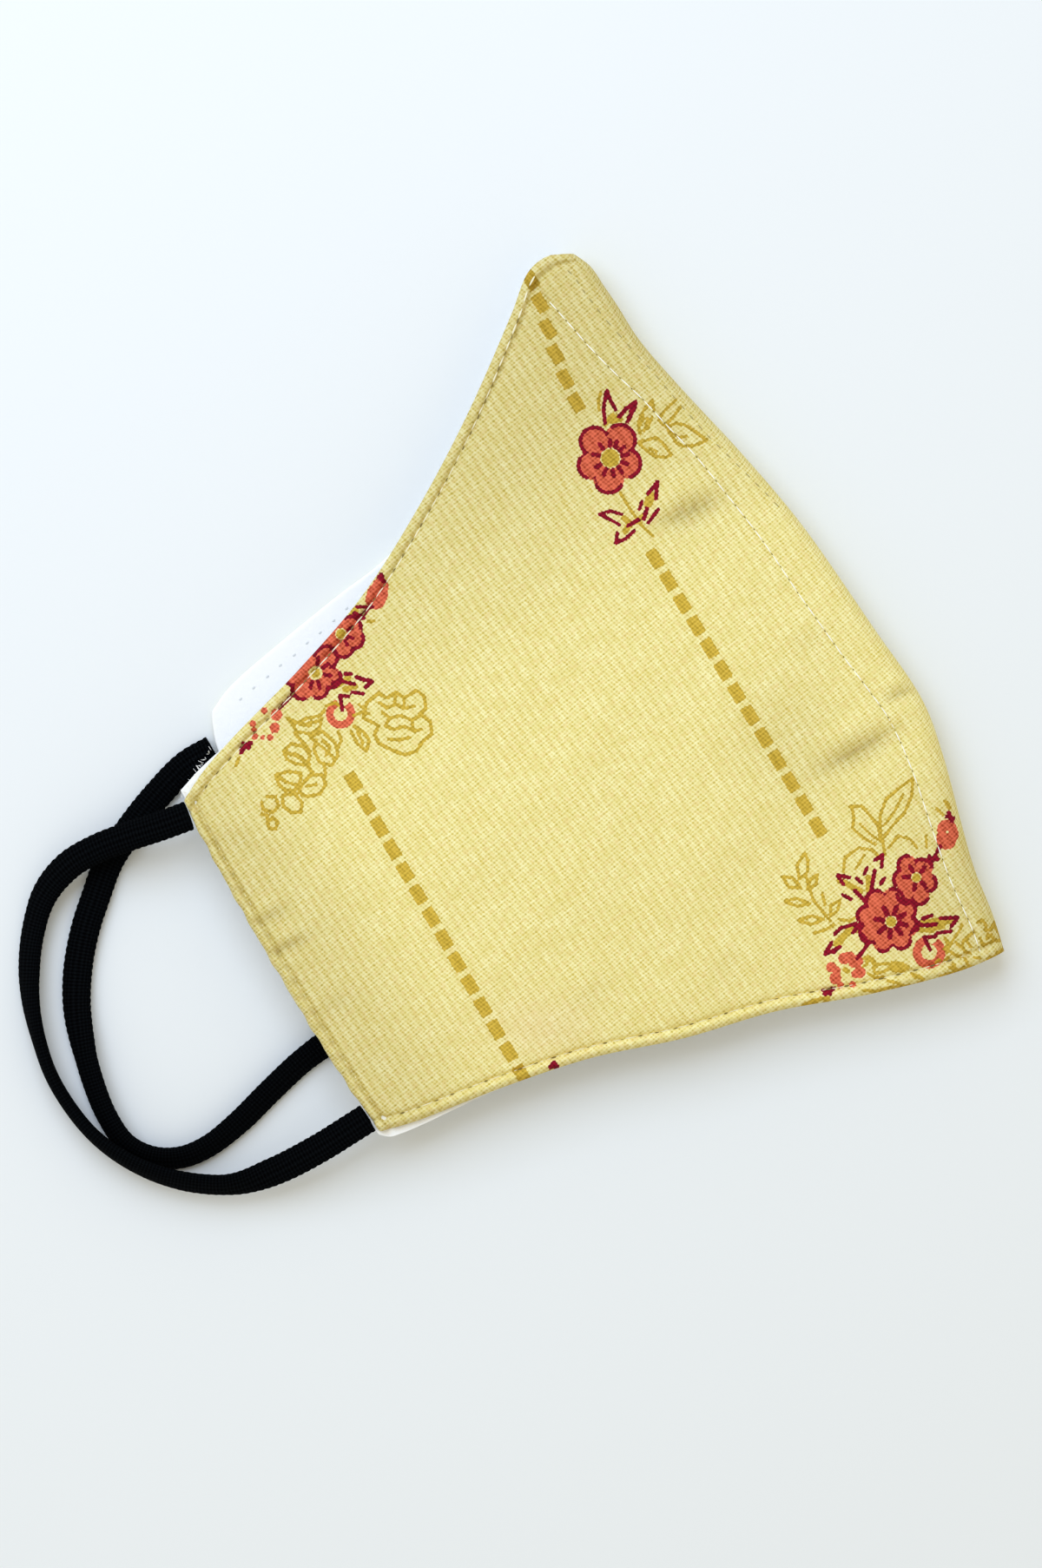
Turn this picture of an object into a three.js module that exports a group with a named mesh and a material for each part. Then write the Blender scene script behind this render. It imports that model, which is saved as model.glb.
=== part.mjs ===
// Contoured cloth face mask, folded in half at its centre seam and lying flat, with two ear loops.
// Millimetres, +Z up. The ear side faces -X, the nose faces +Y and the folded centre seam faces +X.
// The outline is laid out from the near half's lower ear corner, and the group is moved at the end
// so that the origin is the middle of the mask's footprint, on the surface it lies on.
import * as THREE from 'three';
import { mergeVertices } from 'three/addons/utils/BufferGeometryUtils.js';

// Sizes of the folded outline
const HALF_LENGTH = 120.6; // ear edge to the furthest point of the fold
const EAR_EDGE = 67.2; // height of the near half's ear edge
const NOSE_RISE = 48.6; // from the upper ear corner up to the nose
const CHIN_DROP = 30.1; // from the lower ear corner down to the chin
const EAR_BOW = 1.0; // how far the near ear edge bows outwards
const FOLD_LENGTH = EAR_EDGE + NOSE_RISE + CHIN_DROP;

// The cloth: an outer ply and a lining in each half
const OUTER_PLY = 1.0;
const LINING_PLY = 1.0;
const PLY_GAP = 0.3; // clearance between the two plies
const SEAM_GAP = 0.3; // clearance between the two halves at the centre seam
const BOTH_PLIES = OUTER_PLY + PLY_GAP + LINING_PLY;
const LINING_INSET = 0.5; // how far the lining stays inside the outer ply's edge
const LINING_SHOW = 1.6; // how far the near lining slips out below the hem at the ear corner
const LINING_SHOW_RUN = 18; // length of hem below which it slips out

// How the folded mask stands off the surface
const FOLD_HEIGHT = 9.0; // the centre fold, over both halves
const FOLD_RUN = 4.0; // plan width of the fold's round edge
const EAR_OPENING = 5.6; // space between the linings at the ear edge
const MIDDLE_OPENING = 9.5; // and in the middle of the mask
const FOLD_OPENING = FOLD_HEIGHT - 2 * BOTH_PLIES;

// Hem and topstitching, as distances in from the edge
const HEM_STITCH = 3.0;
const HEM_RIM = 1.3;
const STITCH_SINK = 0.3; // depth of the groove that the thread pulls down
const EDGE_SINK = 0.35; // how far the turned edge rounds down
const RIM_SWELL = 0.15; // how far the hem puffs up between edge and stitches
const FOLD_STITCH = 7.8; // from the fold to the topstitching beside it
const FOLD_STITCH_SIDE = 1.6; // half width of that groove

// Ear loops: flat knitted elastic
const LOOP_WIDTH = 5.2;
const LOOP_THICKNESS = 2.4;
const LOOP_SIDES = 10;
const LOOP_STEP = 5.2; // length of one straight stretch of a loop

// Outlines. along is a share of HALF_LENGTH from the ear corner, rise a share of NOSE_RISE above
// the upper ear corner, drop a share of CHIN_DROP below the lower one, and up a share of
// FOLD_LENGTH above the chin.
const NEAR_TOP = [
  { along: 0.005, rise: 0.0 },
  { along: 0.050, rise: 0.053 },
  { along: 0.116, rise: 0.105 },
  { along: 0.249, rise: 0.191 },
  { along: 0.381, rise: 0.298 },
  { along: 0.514, rise: 0.461 },
  { along: 0.647, rise: 0.658 },
  { along: 0.779, rise: 0.887 },
  { along: 0.832, rise: 0.985 },
  { along: 0.867, rise: 0.997 },
  { along: 0.900, rise: 0.955 },
];
const NEAR_BOTTOM = [
  { along: 0.0, drop: 0.0 },
  { along: 0.050, drop: 0.056 },
  { along: 0.182, drop: 0.150 },
  { along: 0.315, drop: 0.272 },
  { along: 0.448, drop: 0.458 },
  { along: 0.581, drop: 0.601 },
  { along: 0.713, drop: 0.804 },
  { along: 0.846, drop: 0.963 },
  { along: 0.912, drop: 1.0 },
];
const FAR_TOP = [
  { along: 0.104, rise: 0.230 },
  { along: 0.146, rise: 0.272 },
  { along: 0.249, rise: 0.317 },
  { along: 0.352, rise: 0.352 },
  { along: 0.435, rise: 0.375 },
  { along: 0.514, rise: 0.440 },
  { along: 0.647, rise: 0.634 },
  { along: 0.779, rise: 0.864 },
  { along: 0.835, rise: 0.960 },
  { along: 0.867, rise: 0.980 },
  { along: 0.900, rise: 0.955 },
];
const FAR_BOTTOM = [
  { along: 0.0, drop: -0.262 },
  { along: 0.182, drop: -0.050 },
  { along: 0.448, drop: 0.349 },
  { along: 0.713, drop: 0.764 },
  { along: 0.846, drop: 0.940 },
  { along: 0.912, drop: 1.0 },
];
const FOLD_LINE = [
  { up: 0.0, along: 0.912 },
  { up: 0.048, along: 0.926 },
  { up: 0.103, along: 0.937 },
  { up: 0.158, along: 0.955 },
  { up: 0.240, along: 0.984 },
  { up: 0.308, along: 1.0 },
  { up: 0.412, along: 0.994 },
  { up: 0.569, along: 0.982 },
  { up: 0.679, along: 0.961 },
  { up: 0.775, along: 0.937 },
  { up: 0.857, along: 0.920 },
  { up: 0.925, along: 0.917 },
  { up: 0.9862, along: 0.900 },
];
// How the ear edges leave the straight line between their corners. up is a share of the edge from
// its lower corner, and bow a share of EAR_BOW outwards.
const NEAR_EAR = [
  { up: 0.12, bow: 0.7 },
  { up: 0.32, bow: 1.15 },
  { up: 0.65, bow: 1.1 },
  { up: 0.90, bow: 0.5 },
];
const FAR_EAR = [
  { up: 0.30, bow: 0.2 },
  { up: 0.65, bow: 0.4 },
  { up: 0.90, bow: 1.5 },
];

// Soft dents of the near half. along and up are shares of its own length and height, long and wide
// shares of HALF_LENGTH, and deep a share of the ply.
const DENTS = [
  { along: 0.935, up: 0.31, long: 0.10, wide: 0.030, deep: 0.9 },
  { along: 0.900, up: 0.645, long: 0.09, wide: 0.034, deep: 0.8 },
  { along: 0.500, up: 0.550, long: 0.25, wide: 0.080, deep: 0.5 },
  { along: 0.075, up: 0.330, long: 0.06, wide: 0.035, deep: 0.6 },
];

// Mesh of each ply
const EVEN_COLUMNS = 10;
const EVEN_ROWS = 14;
const BEND_COLUMNS = 4;

// Ear loop routes, from the near half's lower ear corner: x, y and height of the centre line
const NEAR_LOOP = [
  [0.0, 64.6, 9.0], [-5.1, 65.6, 8.3], [-10.6, 66.9, 7.0], [-16.9, 68.1, 5.8], [-23.0, 68.2, 4.4],
  [-29.2, 66.1, 2.9], [-34.6, 61.4, 1.8], [-38.7, 55.9, 1.4], [-41.5, 50.5, 1.4],
  [-43.5, 44.5, 1.4], [-44.8, 38.4, 1.5], [-44.9, 31.7, 2.1], [-43.8, 25.2, 3.6],
  [-41.4, 19.3, 4.2], [-37.6, 13.6, 4.3], [-32.6, 8.7, 4.3], [-26.8, 5.1, 4.6],
  [-19.1, 3.4, 5.6], [-10.6, 2.9, 7.2], [-5.0, 3.0, 8.5], [-0.7, 3.1, 9.0],
];
const FAR_LOOP = [
  [9.3, 72.5, 1.3], [3.9, 72.6, 1.3], [-2.9, 70.9, 1.3], [-9.6, 68.5, 1.3], [-16.5, 65.3, 1.3],
  [-22.0, 61.0, 1.3], [-26.4, 57.2, 1.3], [-31.0, 52.1, 1.3], [-34.7, 46.4, 1.3],
  [-37.3, 40.0, 1.3], [-39.2, 33.3, 1.3], [-40.2, 27.0, 1.3], [-39.8, 21.0, 1.3],
  [-37.0, 16.6, 1.3], [-32.8, 14.0, 1.3], [-27.8, 13.2, 1.3], [-20.9, 14.0, 1.3],
  [-13.4, 15.8, 1.3], [-6.4, 17.3, 1.3], [-2.0, 17.8, 1.3], [1.0, 18.0, 1.3],
];

// A smooth curve through a list of plan points
function through(points) {
  const curve = new THREE.CatmullRomCurve3(points.map(([x, y]) => new THREE.Vector3(x, y, 0)));
  curve.curveType = 'centripetal';
  return curve;
}

// The point at a share of a curve's length, carried straight on past its ends
function pointOn(curve, share) {
  const inside = Math.min(1, Math.max(0, share));
  const beyond = (share - inside) * curve.getLength();
  return curve.getPointAt(inside).addScaledVector(curve.getTangentAt(inside), beyond);
}

function topCurve(rows) {
  return through(rows.map(({ along, rise }) => [along * HALF_LENGTH, EAR_EDGE + rise * NOSE_RISE]));
}

function bottomCurve(rows) {
  return through(rows.map(({ along, drop }) => [along * HALF_LENGTH, -drop * CHIN_DROP]));
}

function earCurve(rows, low, high) {
  const side = new THREE.Vector3(high.y - low.y, low.x - high.x, 0).normalize().negate();
  const between = rows.map(({ up, bow }) => {
    const point = low.clone().lerp(high, up).addScaledVector(side, bow * EAR_BOW);
    return [point.x, point.y];
  });
  return through([[low.x, low.y], ...between, [high.x, high.y]]);
}

// The four edges of one half
function edgesOf(topRows, bottomRows, earRows) {
  const top = topCurve(topRows);
  const bottom = bottomCurve(bottomRows);
  const ear = earCurve(earRows, bottom.getPoint(0), top.getPoint(0));
  return { top, bottom, ear };
}

const foldLine = through(
  FOLD_LINE.map(({ up, along }) => [along * HALF_LENGTH, up * FOLD_LENGTH - CHIN_DROP]),
);

// Where the flat cloth starts to turn round the fold: the top and bottom edges stop there
function bendStart(edges, v) {
  const inner = (share) => {
    const tangent = foldLine.getTangentAt(share);
    const outward = new THREE.Vector3(tangent.y, -tangent.x, 0);
    return foldLine.getPointAt(share).addScaledVector(outward, -FOLD_RUN);
  };
  const lowMiss = pointOn(edges.bottom, flatShare(edges.bottom)).sub(inner(0));
  const highMiss = pointOn(edges.top, flatShare(edges.top)).sub(inner(1));
  const inside = Math.min(1, Math.max(0, v));
  return inner(inside).addScaledVector(lowMiss, 1 - inside).addScaledVector(highMiss, inside);
}

function flatShare(curve) {
  return 1 - FOLD_RUN / curve.getLength();
}

// A point of the flat cloth in plan: u runs from the ear edge to the bend, v from bottom to top
function planPoint(edges, u, v) {
  const bottom = pointOn(edges.bottom, u * flatShare(edges.bottom));
  const top = pointOn(edges.top, u * flatShare(edges.top));
  const ear = pointOn(edges.ear, v);
  const bend = bendStart(edges, v);
  const corner = (share, curve) => pointOn(curve, share * flatShare(curve));
  const point = bottom.multiplyScalar(1 - v).addScaledVector(top, v);
  point.addScaledVector(ear, 1 - u).addScaledVector(bend, u);
  point.addScaledVector(corner(0, edges.bottom), -(1 - u) * (1 - v));
  point.addScaledVector(corner(1, edges.bottom), -u * (1 - v));
  point.addScaledVector(corner(0, edges.top), -(1 - u) * v);
  point.addScaledVector(corner(1, edges.top), -u * v);
  return point;
}

// The stations across one half, as distances from the ear edge with what the hem does there
function columnStations(length) {
  const foldStitch = length - (FOLD_STITCH - FOLD_RUN);
  const first = 2 * HEM_STITCH - HEM_RIM;
  const last = foldStitch - FOLD_STITCH_SIDE;
  const stations = [
    { at: 0, lift: -EDGE_SINK },
    { at: HEM_RIM, lift: RIM_SWELL },
    { at: HEM_STITCH, lift: -STITCH_SINK },
  ];
  for (let k = 0; k <= EVEN_COLUMNS; k += 1) {
    stations.push({ at: first + (last - first) * k / EVEN_COLUMNS, lift: 0 });
  }
  stations.push({ at: foldStitch, lift: -STITCH_SINK });
  stations.push({ at: foldStitch + FOLD_STITCH_SIDE, lift: 0 });
  for (let k = 0; k <= BEND_COLUMNS; k += 1) {
    stations.push({ at: length, turn: (Math.PI / 2) * k / BEND_COLUMNS, lift: 0 });
  }
  return stations;
}

// The stations up one half at a place where it has this height
function rowStations(height) {
  const first = 2 * HEM_STITCH - HEM_RIM;
  const hem = [
    { at: 0, lift: -EDGE_SINK },
    { at: HEM_RIM, lift: RIM_SWELL },
    { at: HEM_STITCH, lift: -STITCH_SINK },
  ];
  const middle = [];
  for (let k = 0; k <= EVEN_ROWS; k += 1) {
    middle.push({ at: first + (height - 2 * first) * k / EVEN_ROWS, lift: 0 });
  }
  const upper = hem.map(({ at, lift }) => ({ at: height - at, lift })).reverse();
  return [...hem, ...middle, ...upper];
}

// Hem, edge and stitch lines together: a groove wins over a swelling
function hemLift(column, row) {
  const lowest = Math.min(column.lift, row.lift);
  return lowest < 0 ? lowest : Math.max(column.lift, row.lift);
}

// The space between the two linings
function openingAt(u, v) {
  const across = Math.sin(Math.PI * Math.min(1, Math.max(0, u)));
  const upward = Math.sin(Math.PI * Math.min(1, Math.max(0, v)));
  const edge = THREE.MathUtils.lerp(EAR_OPENING, FOLD_OPENING, THREE.MathUtils.smoothstep(u, 0, 1));
  return edge + (MIDDLE_OPENING - edge) * Math.pow(across, 0.8) * Math.pow(upward, 0.7);
}

function dentAt(u, v) {
  let depth = 0;
  for (const dent of DENTS) {
    const across = (u - dent.along) / dent.long;
    const upward = (v - dent.up) * FOLD_LENGTH / (dent.wide * HALF_LENGTH);
    depth += dent.deep * OUTER_PLY * Math.exp(-across * across - upward * upward);
  }
  return depth;
}

const HALVES = {
  near: { edges: edgesOf(NEAR_TOP, NEAR_BOTTOM, NEAR_EAR), side: 1, swell: 1, dents: 1 },
  far: { edges: edgesOf(FAR_TOP, FAR_BOTTOM, FAR_EAR), side: -1, swell: 0, dents: 0 },
};

// Height of a half's outer face where the cloth lies flat
function faceHeight(half, u, v) {
  if (half.side < 0) {
    return 0;
  }
  return 2 * BOTH_PLIES + openingAt(u, v) - half.dents * dentAt(u, v);
}

// A ply of one half: a box of one cell's thickness whose grid is bent to the cloth's shape.
// depth is measured inwards from the half's outer face, and inset and show from its edge.
function makePly(half, depths, inset, show, relief) {
  const edges = half.edges;
  const lowLength = edges.bottom.getLength() - FOLD_RUN;
  const highLength = edges.top.getLength() - FOLD_RUN;
  const columnCount = columnStations(lowLength).length - 1;
  const rowCount = rowStations(FOLD_LENGTH).length - 1;
  const grid = new THREE.BoxGeometry(1, 1, 1, columnCount, rowCount, 1);
  const position = grid.attributes.position;
  const earHeight = edges.ear.getLength();
  const foldHeight = foldLine.getLength();
  for (let k = 0; k < position.count; k += 1) {
    const i = Math.round((position.getX(k) + 0.5) * columnCount);
    const j = Math.round((position.getY(k) + 0.5) * rowCount);
    const outside = (position.getZ(k) > 0) === (half.side > 0);
    const depth = outside ? depths[0] : depths[1];
    const length = THREE.MathUtils.lerp(lowLength, highLength, j / rowCount);
    const column = columnStations(length - inset)[i];
    const u = (column.at + inset) / length;
    const height = THREE.MathUtils.lerp(earHeight, foldHeight, u);
    const slipped = show * Math.max(0, 1 - u * length / LINING_SHOW_RUN);
    const row = rowStations(height - 2 * inset + slipped)[j];
    const v = (row.at + inset - slipped) / height;
    const plan = planPoint(edges, u, v);
    let lift = relief && outside ? hemLift(column, row) : 0;
    if (lift > 0) {
      lift *= half.swell;
    }
    const turn = column.turn ?? 0;
    const outward = foldLine.getPointAt(Math.min(1, Math.max(0, v))).sub(bendStart(edges, v));
    plan.addScaledVector(outward, Math.sin(turn) * (FOLD_RUN - depth) / FOLD_RUN);
    const seamHeight = FOLD_HEIGHT / 2 + half.side * SEAM_GAP / 2;
    const face = faceHeight(half, u, v);
    const flatDrop = Math.abs(face - seamHeight) - depth + lift;
    plan.z = seamHeight + half.side * flatDrop * Math.cos(turn);
    position.setXYZ(k, plan.x, plan.y, plan.z);
  }
  grid.deleteAttribute('normal');
  grid.deleteAttribute('uv');
  const sheet = mergeVertices(grid);
  sheet.computeVertexNormals();
  return sheet;
}

// A flat elastic along its route: an oval section with its wide way level
function makeLoop(route) {
  const path = new THREE.CatmullRomCurve3(route.map((point) => new THREE.Vector3(...point)));
  path.curveType = 'centripetal';
  const oval = new THREE.Shape();
  for (let k = 0; k < LOOP_SIDES; k += 1) {
    const angle = (2 * Math.PI * (k + 0.5)) / LOOP_SIDES;
    const x = Math.cos(angle) * LOOP_THICKNESS / 2;
    const y = Math.sin(angle) * LOOP_WIDTH / 2;
    if (k === 0) {
      oval.moveTo(x, y);
    } else {
      oval.lineTo(x, y);
    }
  }
  oval.closePath();
  const steps = Math.round(path.getLength() / LOOP_STEP);
  const tube = new THREE.ExtrudeGeometry(oval, { steps, extrudePath: path, bevelEnabled: false });
  tube.deleteAttribute('normal');
  tube.deleteAttribute('uv');
  const band = mergeVertices(tube);
  band.computeVertexNormals();
  return band;
}

const printedCotton = new THREE.MeshStandardMaterial({ color: 0xd9cb83, roughness: 0.9, metalness: 0 });
const whiteFlannel = new THREE.MeshStandardMaterial({ color: 0xf0efec, roughness: 0.95, metalness: 0 });
const blackElastic = new THREE.MeshStandardMaterial({ color: 0x111113, roughness: 0.85, metalness: 0 });

const mask = new THREE.Group();

function addPiece(name, geometry, material) {
  const piece = new THREE.Mesh(geometry, material);
  piece.name = name;
  mask.add(piece);
}

const outerDepths = [0, OUTER_PLY];
const liningDepths = [OUTER_PLY + PLY_GAP, BOTH_PLIES];
addPiece('outer_near', makePly(HALVES.near, outerDepths, 0, 0, true), printedCotton);
addPiece('outer_far', makePly(HALVES.far, outerDepths, 0, 0, true), printedCotton);
addPiece('lining_near', makePly(HALVES.near, liningDepths, LINING_INSET, LINING_SHOW, false), whiteFlannel);
addPiece('lining_far', makePly(HALVES.far, liningDepths, LINING_INSET, 0, false), whiteFlannel);
addPiece('ear_loop_near', makeLoop(NEAR_LOOP), blackElastic);
addPiece('ear_loop_far', makeLoop(FAR_LOOP), blackElastic);

mask.position.set(-(HALF_LENGTH - EAR_BOW) / 2, -(FOLD_LENGTH / 2 - CHIN_DROP), 0);

export default mask;
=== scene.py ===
# Contoured cloth face mask, folded at its centre seam and lying flat, with two knitted ear loops.
import math

import bmesh
import bpy
import numpy as np
from mathutils import Matrix, Vector


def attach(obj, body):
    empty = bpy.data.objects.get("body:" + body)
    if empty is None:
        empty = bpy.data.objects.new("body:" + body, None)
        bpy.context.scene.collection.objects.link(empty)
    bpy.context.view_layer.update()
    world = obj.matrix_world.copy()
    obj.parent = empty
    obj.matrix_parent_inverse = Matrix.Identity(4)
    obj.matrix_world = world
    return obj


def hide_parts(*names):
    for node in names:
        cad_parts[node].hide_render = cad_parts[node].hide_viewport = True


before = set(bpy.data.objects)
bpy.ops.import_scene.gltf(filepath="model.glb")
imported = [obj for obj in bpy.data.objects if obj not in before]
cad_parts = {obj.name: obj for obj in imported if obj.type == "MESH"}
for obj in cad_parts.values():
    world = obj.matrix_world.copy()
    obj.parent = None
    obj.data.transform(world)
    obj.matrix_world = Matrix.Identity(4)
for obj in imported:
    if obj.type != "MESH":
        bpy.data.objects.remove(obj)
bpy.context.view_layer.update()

MM = 0.001

# Sizes of the folded outline in millimetres, from the near half's lower ear corner
HALF_LENGTH = 120.6
EAR_EDGE = 67.2
NOSE_RISE = 48.6
CHIN_DROP = 30.1
EAR_BOW = 1.0
FOLD_LENGTH = EAR_EDGE + NOSE_RISE + CHIN_DROP
ORIGIN = ((HALF_LENGTH - EAR_BOW) / 2, FOLD_LENGTH / 2 - CHIN_DROP)

# The plies and how the folded mask stands off the table
PLY = 1.0
PLY_GAP = 0.3
SEAM_GAP = 0.3
BOTH_PLIES = 2 * PLY + PLY_GAP
FOLD_HEIGHT = 9.0
FOLD_RUN = 4.0
EAR_OPENING = 5.6
MIDDLE_OPENING = 9.5
FOLD_OPENING = FOLD_HEIGHT - 2 * BOTH_PLIES

# How far the near lining reaches past its outer ply: at the lower hem from the ear edge on and again
# towards the chin, and at the upper hem beside the ear edge
LINING_INSET = 0.5
LINING_SHOW = 2.3
LINING_SHOW_RUN = 34.0
LINING_SHOW_POWER = 1.3
LINING_CHIN_START = 72.0
LINING_CHIN_RUN = 18.0
LINING_CHIN_SHARE = 0.7
LINING_RISE = 2.3
LINING_RISE_RUN = 16.0
# Its lower ear corner is rounded off, and slips out past the ear edge up to a height
CORNER_ROUND = 0.55
CORNER_PAST = 0.7
CORNER_RUN = 2.4
EAR_SLIP = 0.5
EAR_SLIP_UP = 11.0
EAR_SLIP_RUN = 12.0

# How far the topstitching lies in from the hems and the ear edge, and how often it repeats
HEM_STITCH = 2.2
EAR_STITCH = 1.9
STITCH_PITCH = 3.1

# The photograph's frame, for placing the printed motifs: a pixel at the lower ear corner, the turn
# of the mask in the picture, the size of a pixel on the cloth and how far up the plan that pixel lies
PHOTO_CORNER = (435.0, 1297.0)
PHOTO_TURN = math.radians(31.3)
PIXEL = 0.152
CORNER_DROP = 0.9

# Ear loops: knitted elastic, width and thickness, and the routes of their centre lines
LOOP_WIDTH = 5.2
LOOP_THICKNESS = 2.4
NEAR_LOOP = [
    (0.0, 64.6, 9.0), (-5.1, 65.6, 8.3), (-10.6, 66.9, 7.0), (-16.9, 68.1, 5.8), (-23.0, 68.2, 4.4),
    (-29.2, 66.1, 2.9), (-34.6, 61.4, 1.8), (-38.7, 55.9, 1.4), (-41.5, 50.5, 1.4),
    (-43.5, 44.5, 1.4), (-44.8, 38.4, 1.5), (-44.9, 31.7, 2.1), (-43.8, 25.2, 3.6),
    (-41.4, 19.3, 4.2), (-37.6, 13.6, 4.3), (-32.6, 8.7, 4.3), (-26.8, 5.1, 4.6),
    (-19.1, 3.4, 5.6), (-10.6, 2.9, 7.2), (-5.0, 3.0, 8.5), (-0.7, 3.1, 9.0),
]
FAR_LOOP = [
    (9.3, 72.5, 1.3), (3.9, 72.6, 1.3), (-2.9, 70.9, 1.3), (-9.6, 68.5, 1.3), (-16.5, 65.3, 1.3),
    (-22.0, 61.0, 1.3), (-26.4, 57.2, 1.3), (-31.0, 52.1, 1.3), (-34.7, 46.4, 1.3),
    (-37.3, 40.0, 1.3), (-39.2, 33.3, 1.3), (-40.2, 27.0, 1.3), (-39.8, 21.0, 1.3),
    (-37.0, 16.6, 1.3), (-32.8, 14.0, 1.3), (-27.8, 13.2, 1.3), (-20.9, 14.0, 1.3),
    (-13.4, 15.8, 1.3), (-6.4, 17.3, 1.3), (-2.0, 17.8, 1.3), (1.0, 18.0, 1.3),
]

# Outlines as shares: along of HALF_LENGTH, rise of NOSE_RISE, drop of CHIN_DROP, up of FOLD_LENGTH
NEAR_TOP = [
    (0.005, 0.0), (0.050, 0.053), (0.116, 0.105), (0.249, 0.191), (0.381, 0.298), (0.514, 0.461),
    (0.647, 0.658), (0.779, 0.887), (0.832, 0.985), (0.867, 0.997), (0.900, 0.955),
]
NEAR_BOTTOM = [
    (0.0, 0.0), (0.050, 0.056), (0.182, 0.150), (0.315, 0.272), (0.448, 0.458), (0.581, 0.601),
    (0.713, 0.804), (0.846, 0.963), (0.912, 1.0),
]
FAR_TOP = [
    (0.104, 0.230), (0.146, 0.272), (0.249, 0.317), (0.352, 0.352), (0.435, 0.375), (0.514, 0.440),
    (0.647, 0.634), (0.779, 0.864), (0.835, 0.960), (0.867, 0.980), (0.900, 0.955),
]
FAR_BOTTOM = [(0.0, -0.262), (0.182, -0.050), (0.448, 0.349), (0.713, 0.764), (0.846, 0.940), (0.912, 1.0)]
FOLD_LINE = [
    (0.912, 0.0), (0.926, 0.048), (0.937, 0.103), (0.955, 0.158), (0.984, 0.240), (1.0, 0.308),
    (0.994, 0.412), (0.982, 0.569), (0.961, 0.679), (0.937, 0.775), (0.920, 0.857), (0.917, 0.925),
    (0.900, 0.9862),
]
NEAR_EAR = [(0.12, 0.7), (0.32, 1.15), (0.65, 1.1), (0.90, 0.5)]
FAR_EAR = [(0.30, 0.2), (0.65, 0.4), (0.90, 1.5)]


# Curves

def smooth_line(points, per_span=60):
    """A centripetal curve through the points, as a close polyline."""
    p = np.array(points, float)
    p = np.vstack([2 * p[0] - p[1], p, 2 * p[-1] - p[-2]])
    pieces = []
    for k in range(1, len(p) - 2):
        a, b, c, d = p[k - 1:k + 3]
        t0 = 0.0
        t1 = t0 + np.linalg.norm(b - a) ** 0.5
        t2 = t1 + np.linalg.norm(c - b) ** 0.5
        t3 = t2 + np.linalg.norm(d - c) ** 0.5
        t = np.linspace(t1, t2, per_span, endpoint=False)[:, None]
        ab = a * (t1 - t) / (t1 - t0) + b * (t - t0) / (t1 - t0)
        bc = b * (t2 - t) / (t2 - t1) + c * (t - t1) / (t2 - t1)
        cd = c * (t3 - t) / (t3 - t2) + d * (t - t2) / (t3 - t2)
        abc = ab * (t2 - t) / (t2 - t0) + bc * (t - t0) / (t2 - t0)
        bcd = bc * (t3 - t) / (t3 - t1) + cd * (t - t1) / (t3 - t1)
        pieces.append(abc * (t2 - t) / (t2 - t1) + bcd * (t - t1) / (t2 - t1))
    pieces.append(p[-2][None, :])
    return np.vstack(pieces)


class Line:
    """A polyline that gives its points by their share of its length."""

    def __init__(self, points):
        self.points = np.array(points, float)
        steps = np.linalg.norm(np.diff(self.points, axis=0), axis=1)
        self.along = np.concatenate([[0.0], np.cumsum(steps)])
        self.length = self.along[-1]

    def at(self, share):
        share = np.asarray(share, float)
        inside = np.clip(share, 0.0, 1.0)
        place = np.stack(
            [np.interp(inside * self.length, self.along, column) for column in self.points.T], axis=-1
        )
        beyond = ((share - inside) * self.length)[..., None]
        return place + beyond * self.heading(inside)

    def heading(self, share):
        step = 0.004
        low = np.clip(np.asarray(share, float) - step, 0.0, 1.0)
        high = np.clip(np.asarray(share, float) + step, 0.0, 1.0)
        columns = self.points.T
        a = np.stack([np.interp(low * self.length, self.along, c) for c in columns], axis=-1)
        b = np.stack([np.interp(high * self.length, self.along, c) for c in columns], axis=-1)
        away = b - a
        return away / np.maximum(np.linalg.norm(away, axis=-1, keepdims=True), 1e-9)


def top_line(rows):
    return Line(smooth_line([(a * HALF_LENGTH, EAR_EDGE + r * NOSE_RISE) for a, r in rows]))


def bottom_line(rows):
    return Line(smooth_line([(a * HALF_LENGTH, -d * CHIN_DROP) for a, d in rows]))


def ear_line(rows, low, high):
    run = high - low
    outward = np.array([-run[1], run[0]]) / np.linalg.norm(run)
    between = [low + run * up + outward * bow * EAR_BOW for up, bow in rows]
    return Line(smooth_line([low, *between, high]))


FOLD = Line(smooth_line([(a * HALF_LENGTH, up * FOLD_LENGTH - CHIN_DROP) for a, up in FOLD_LINE]))


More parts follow.
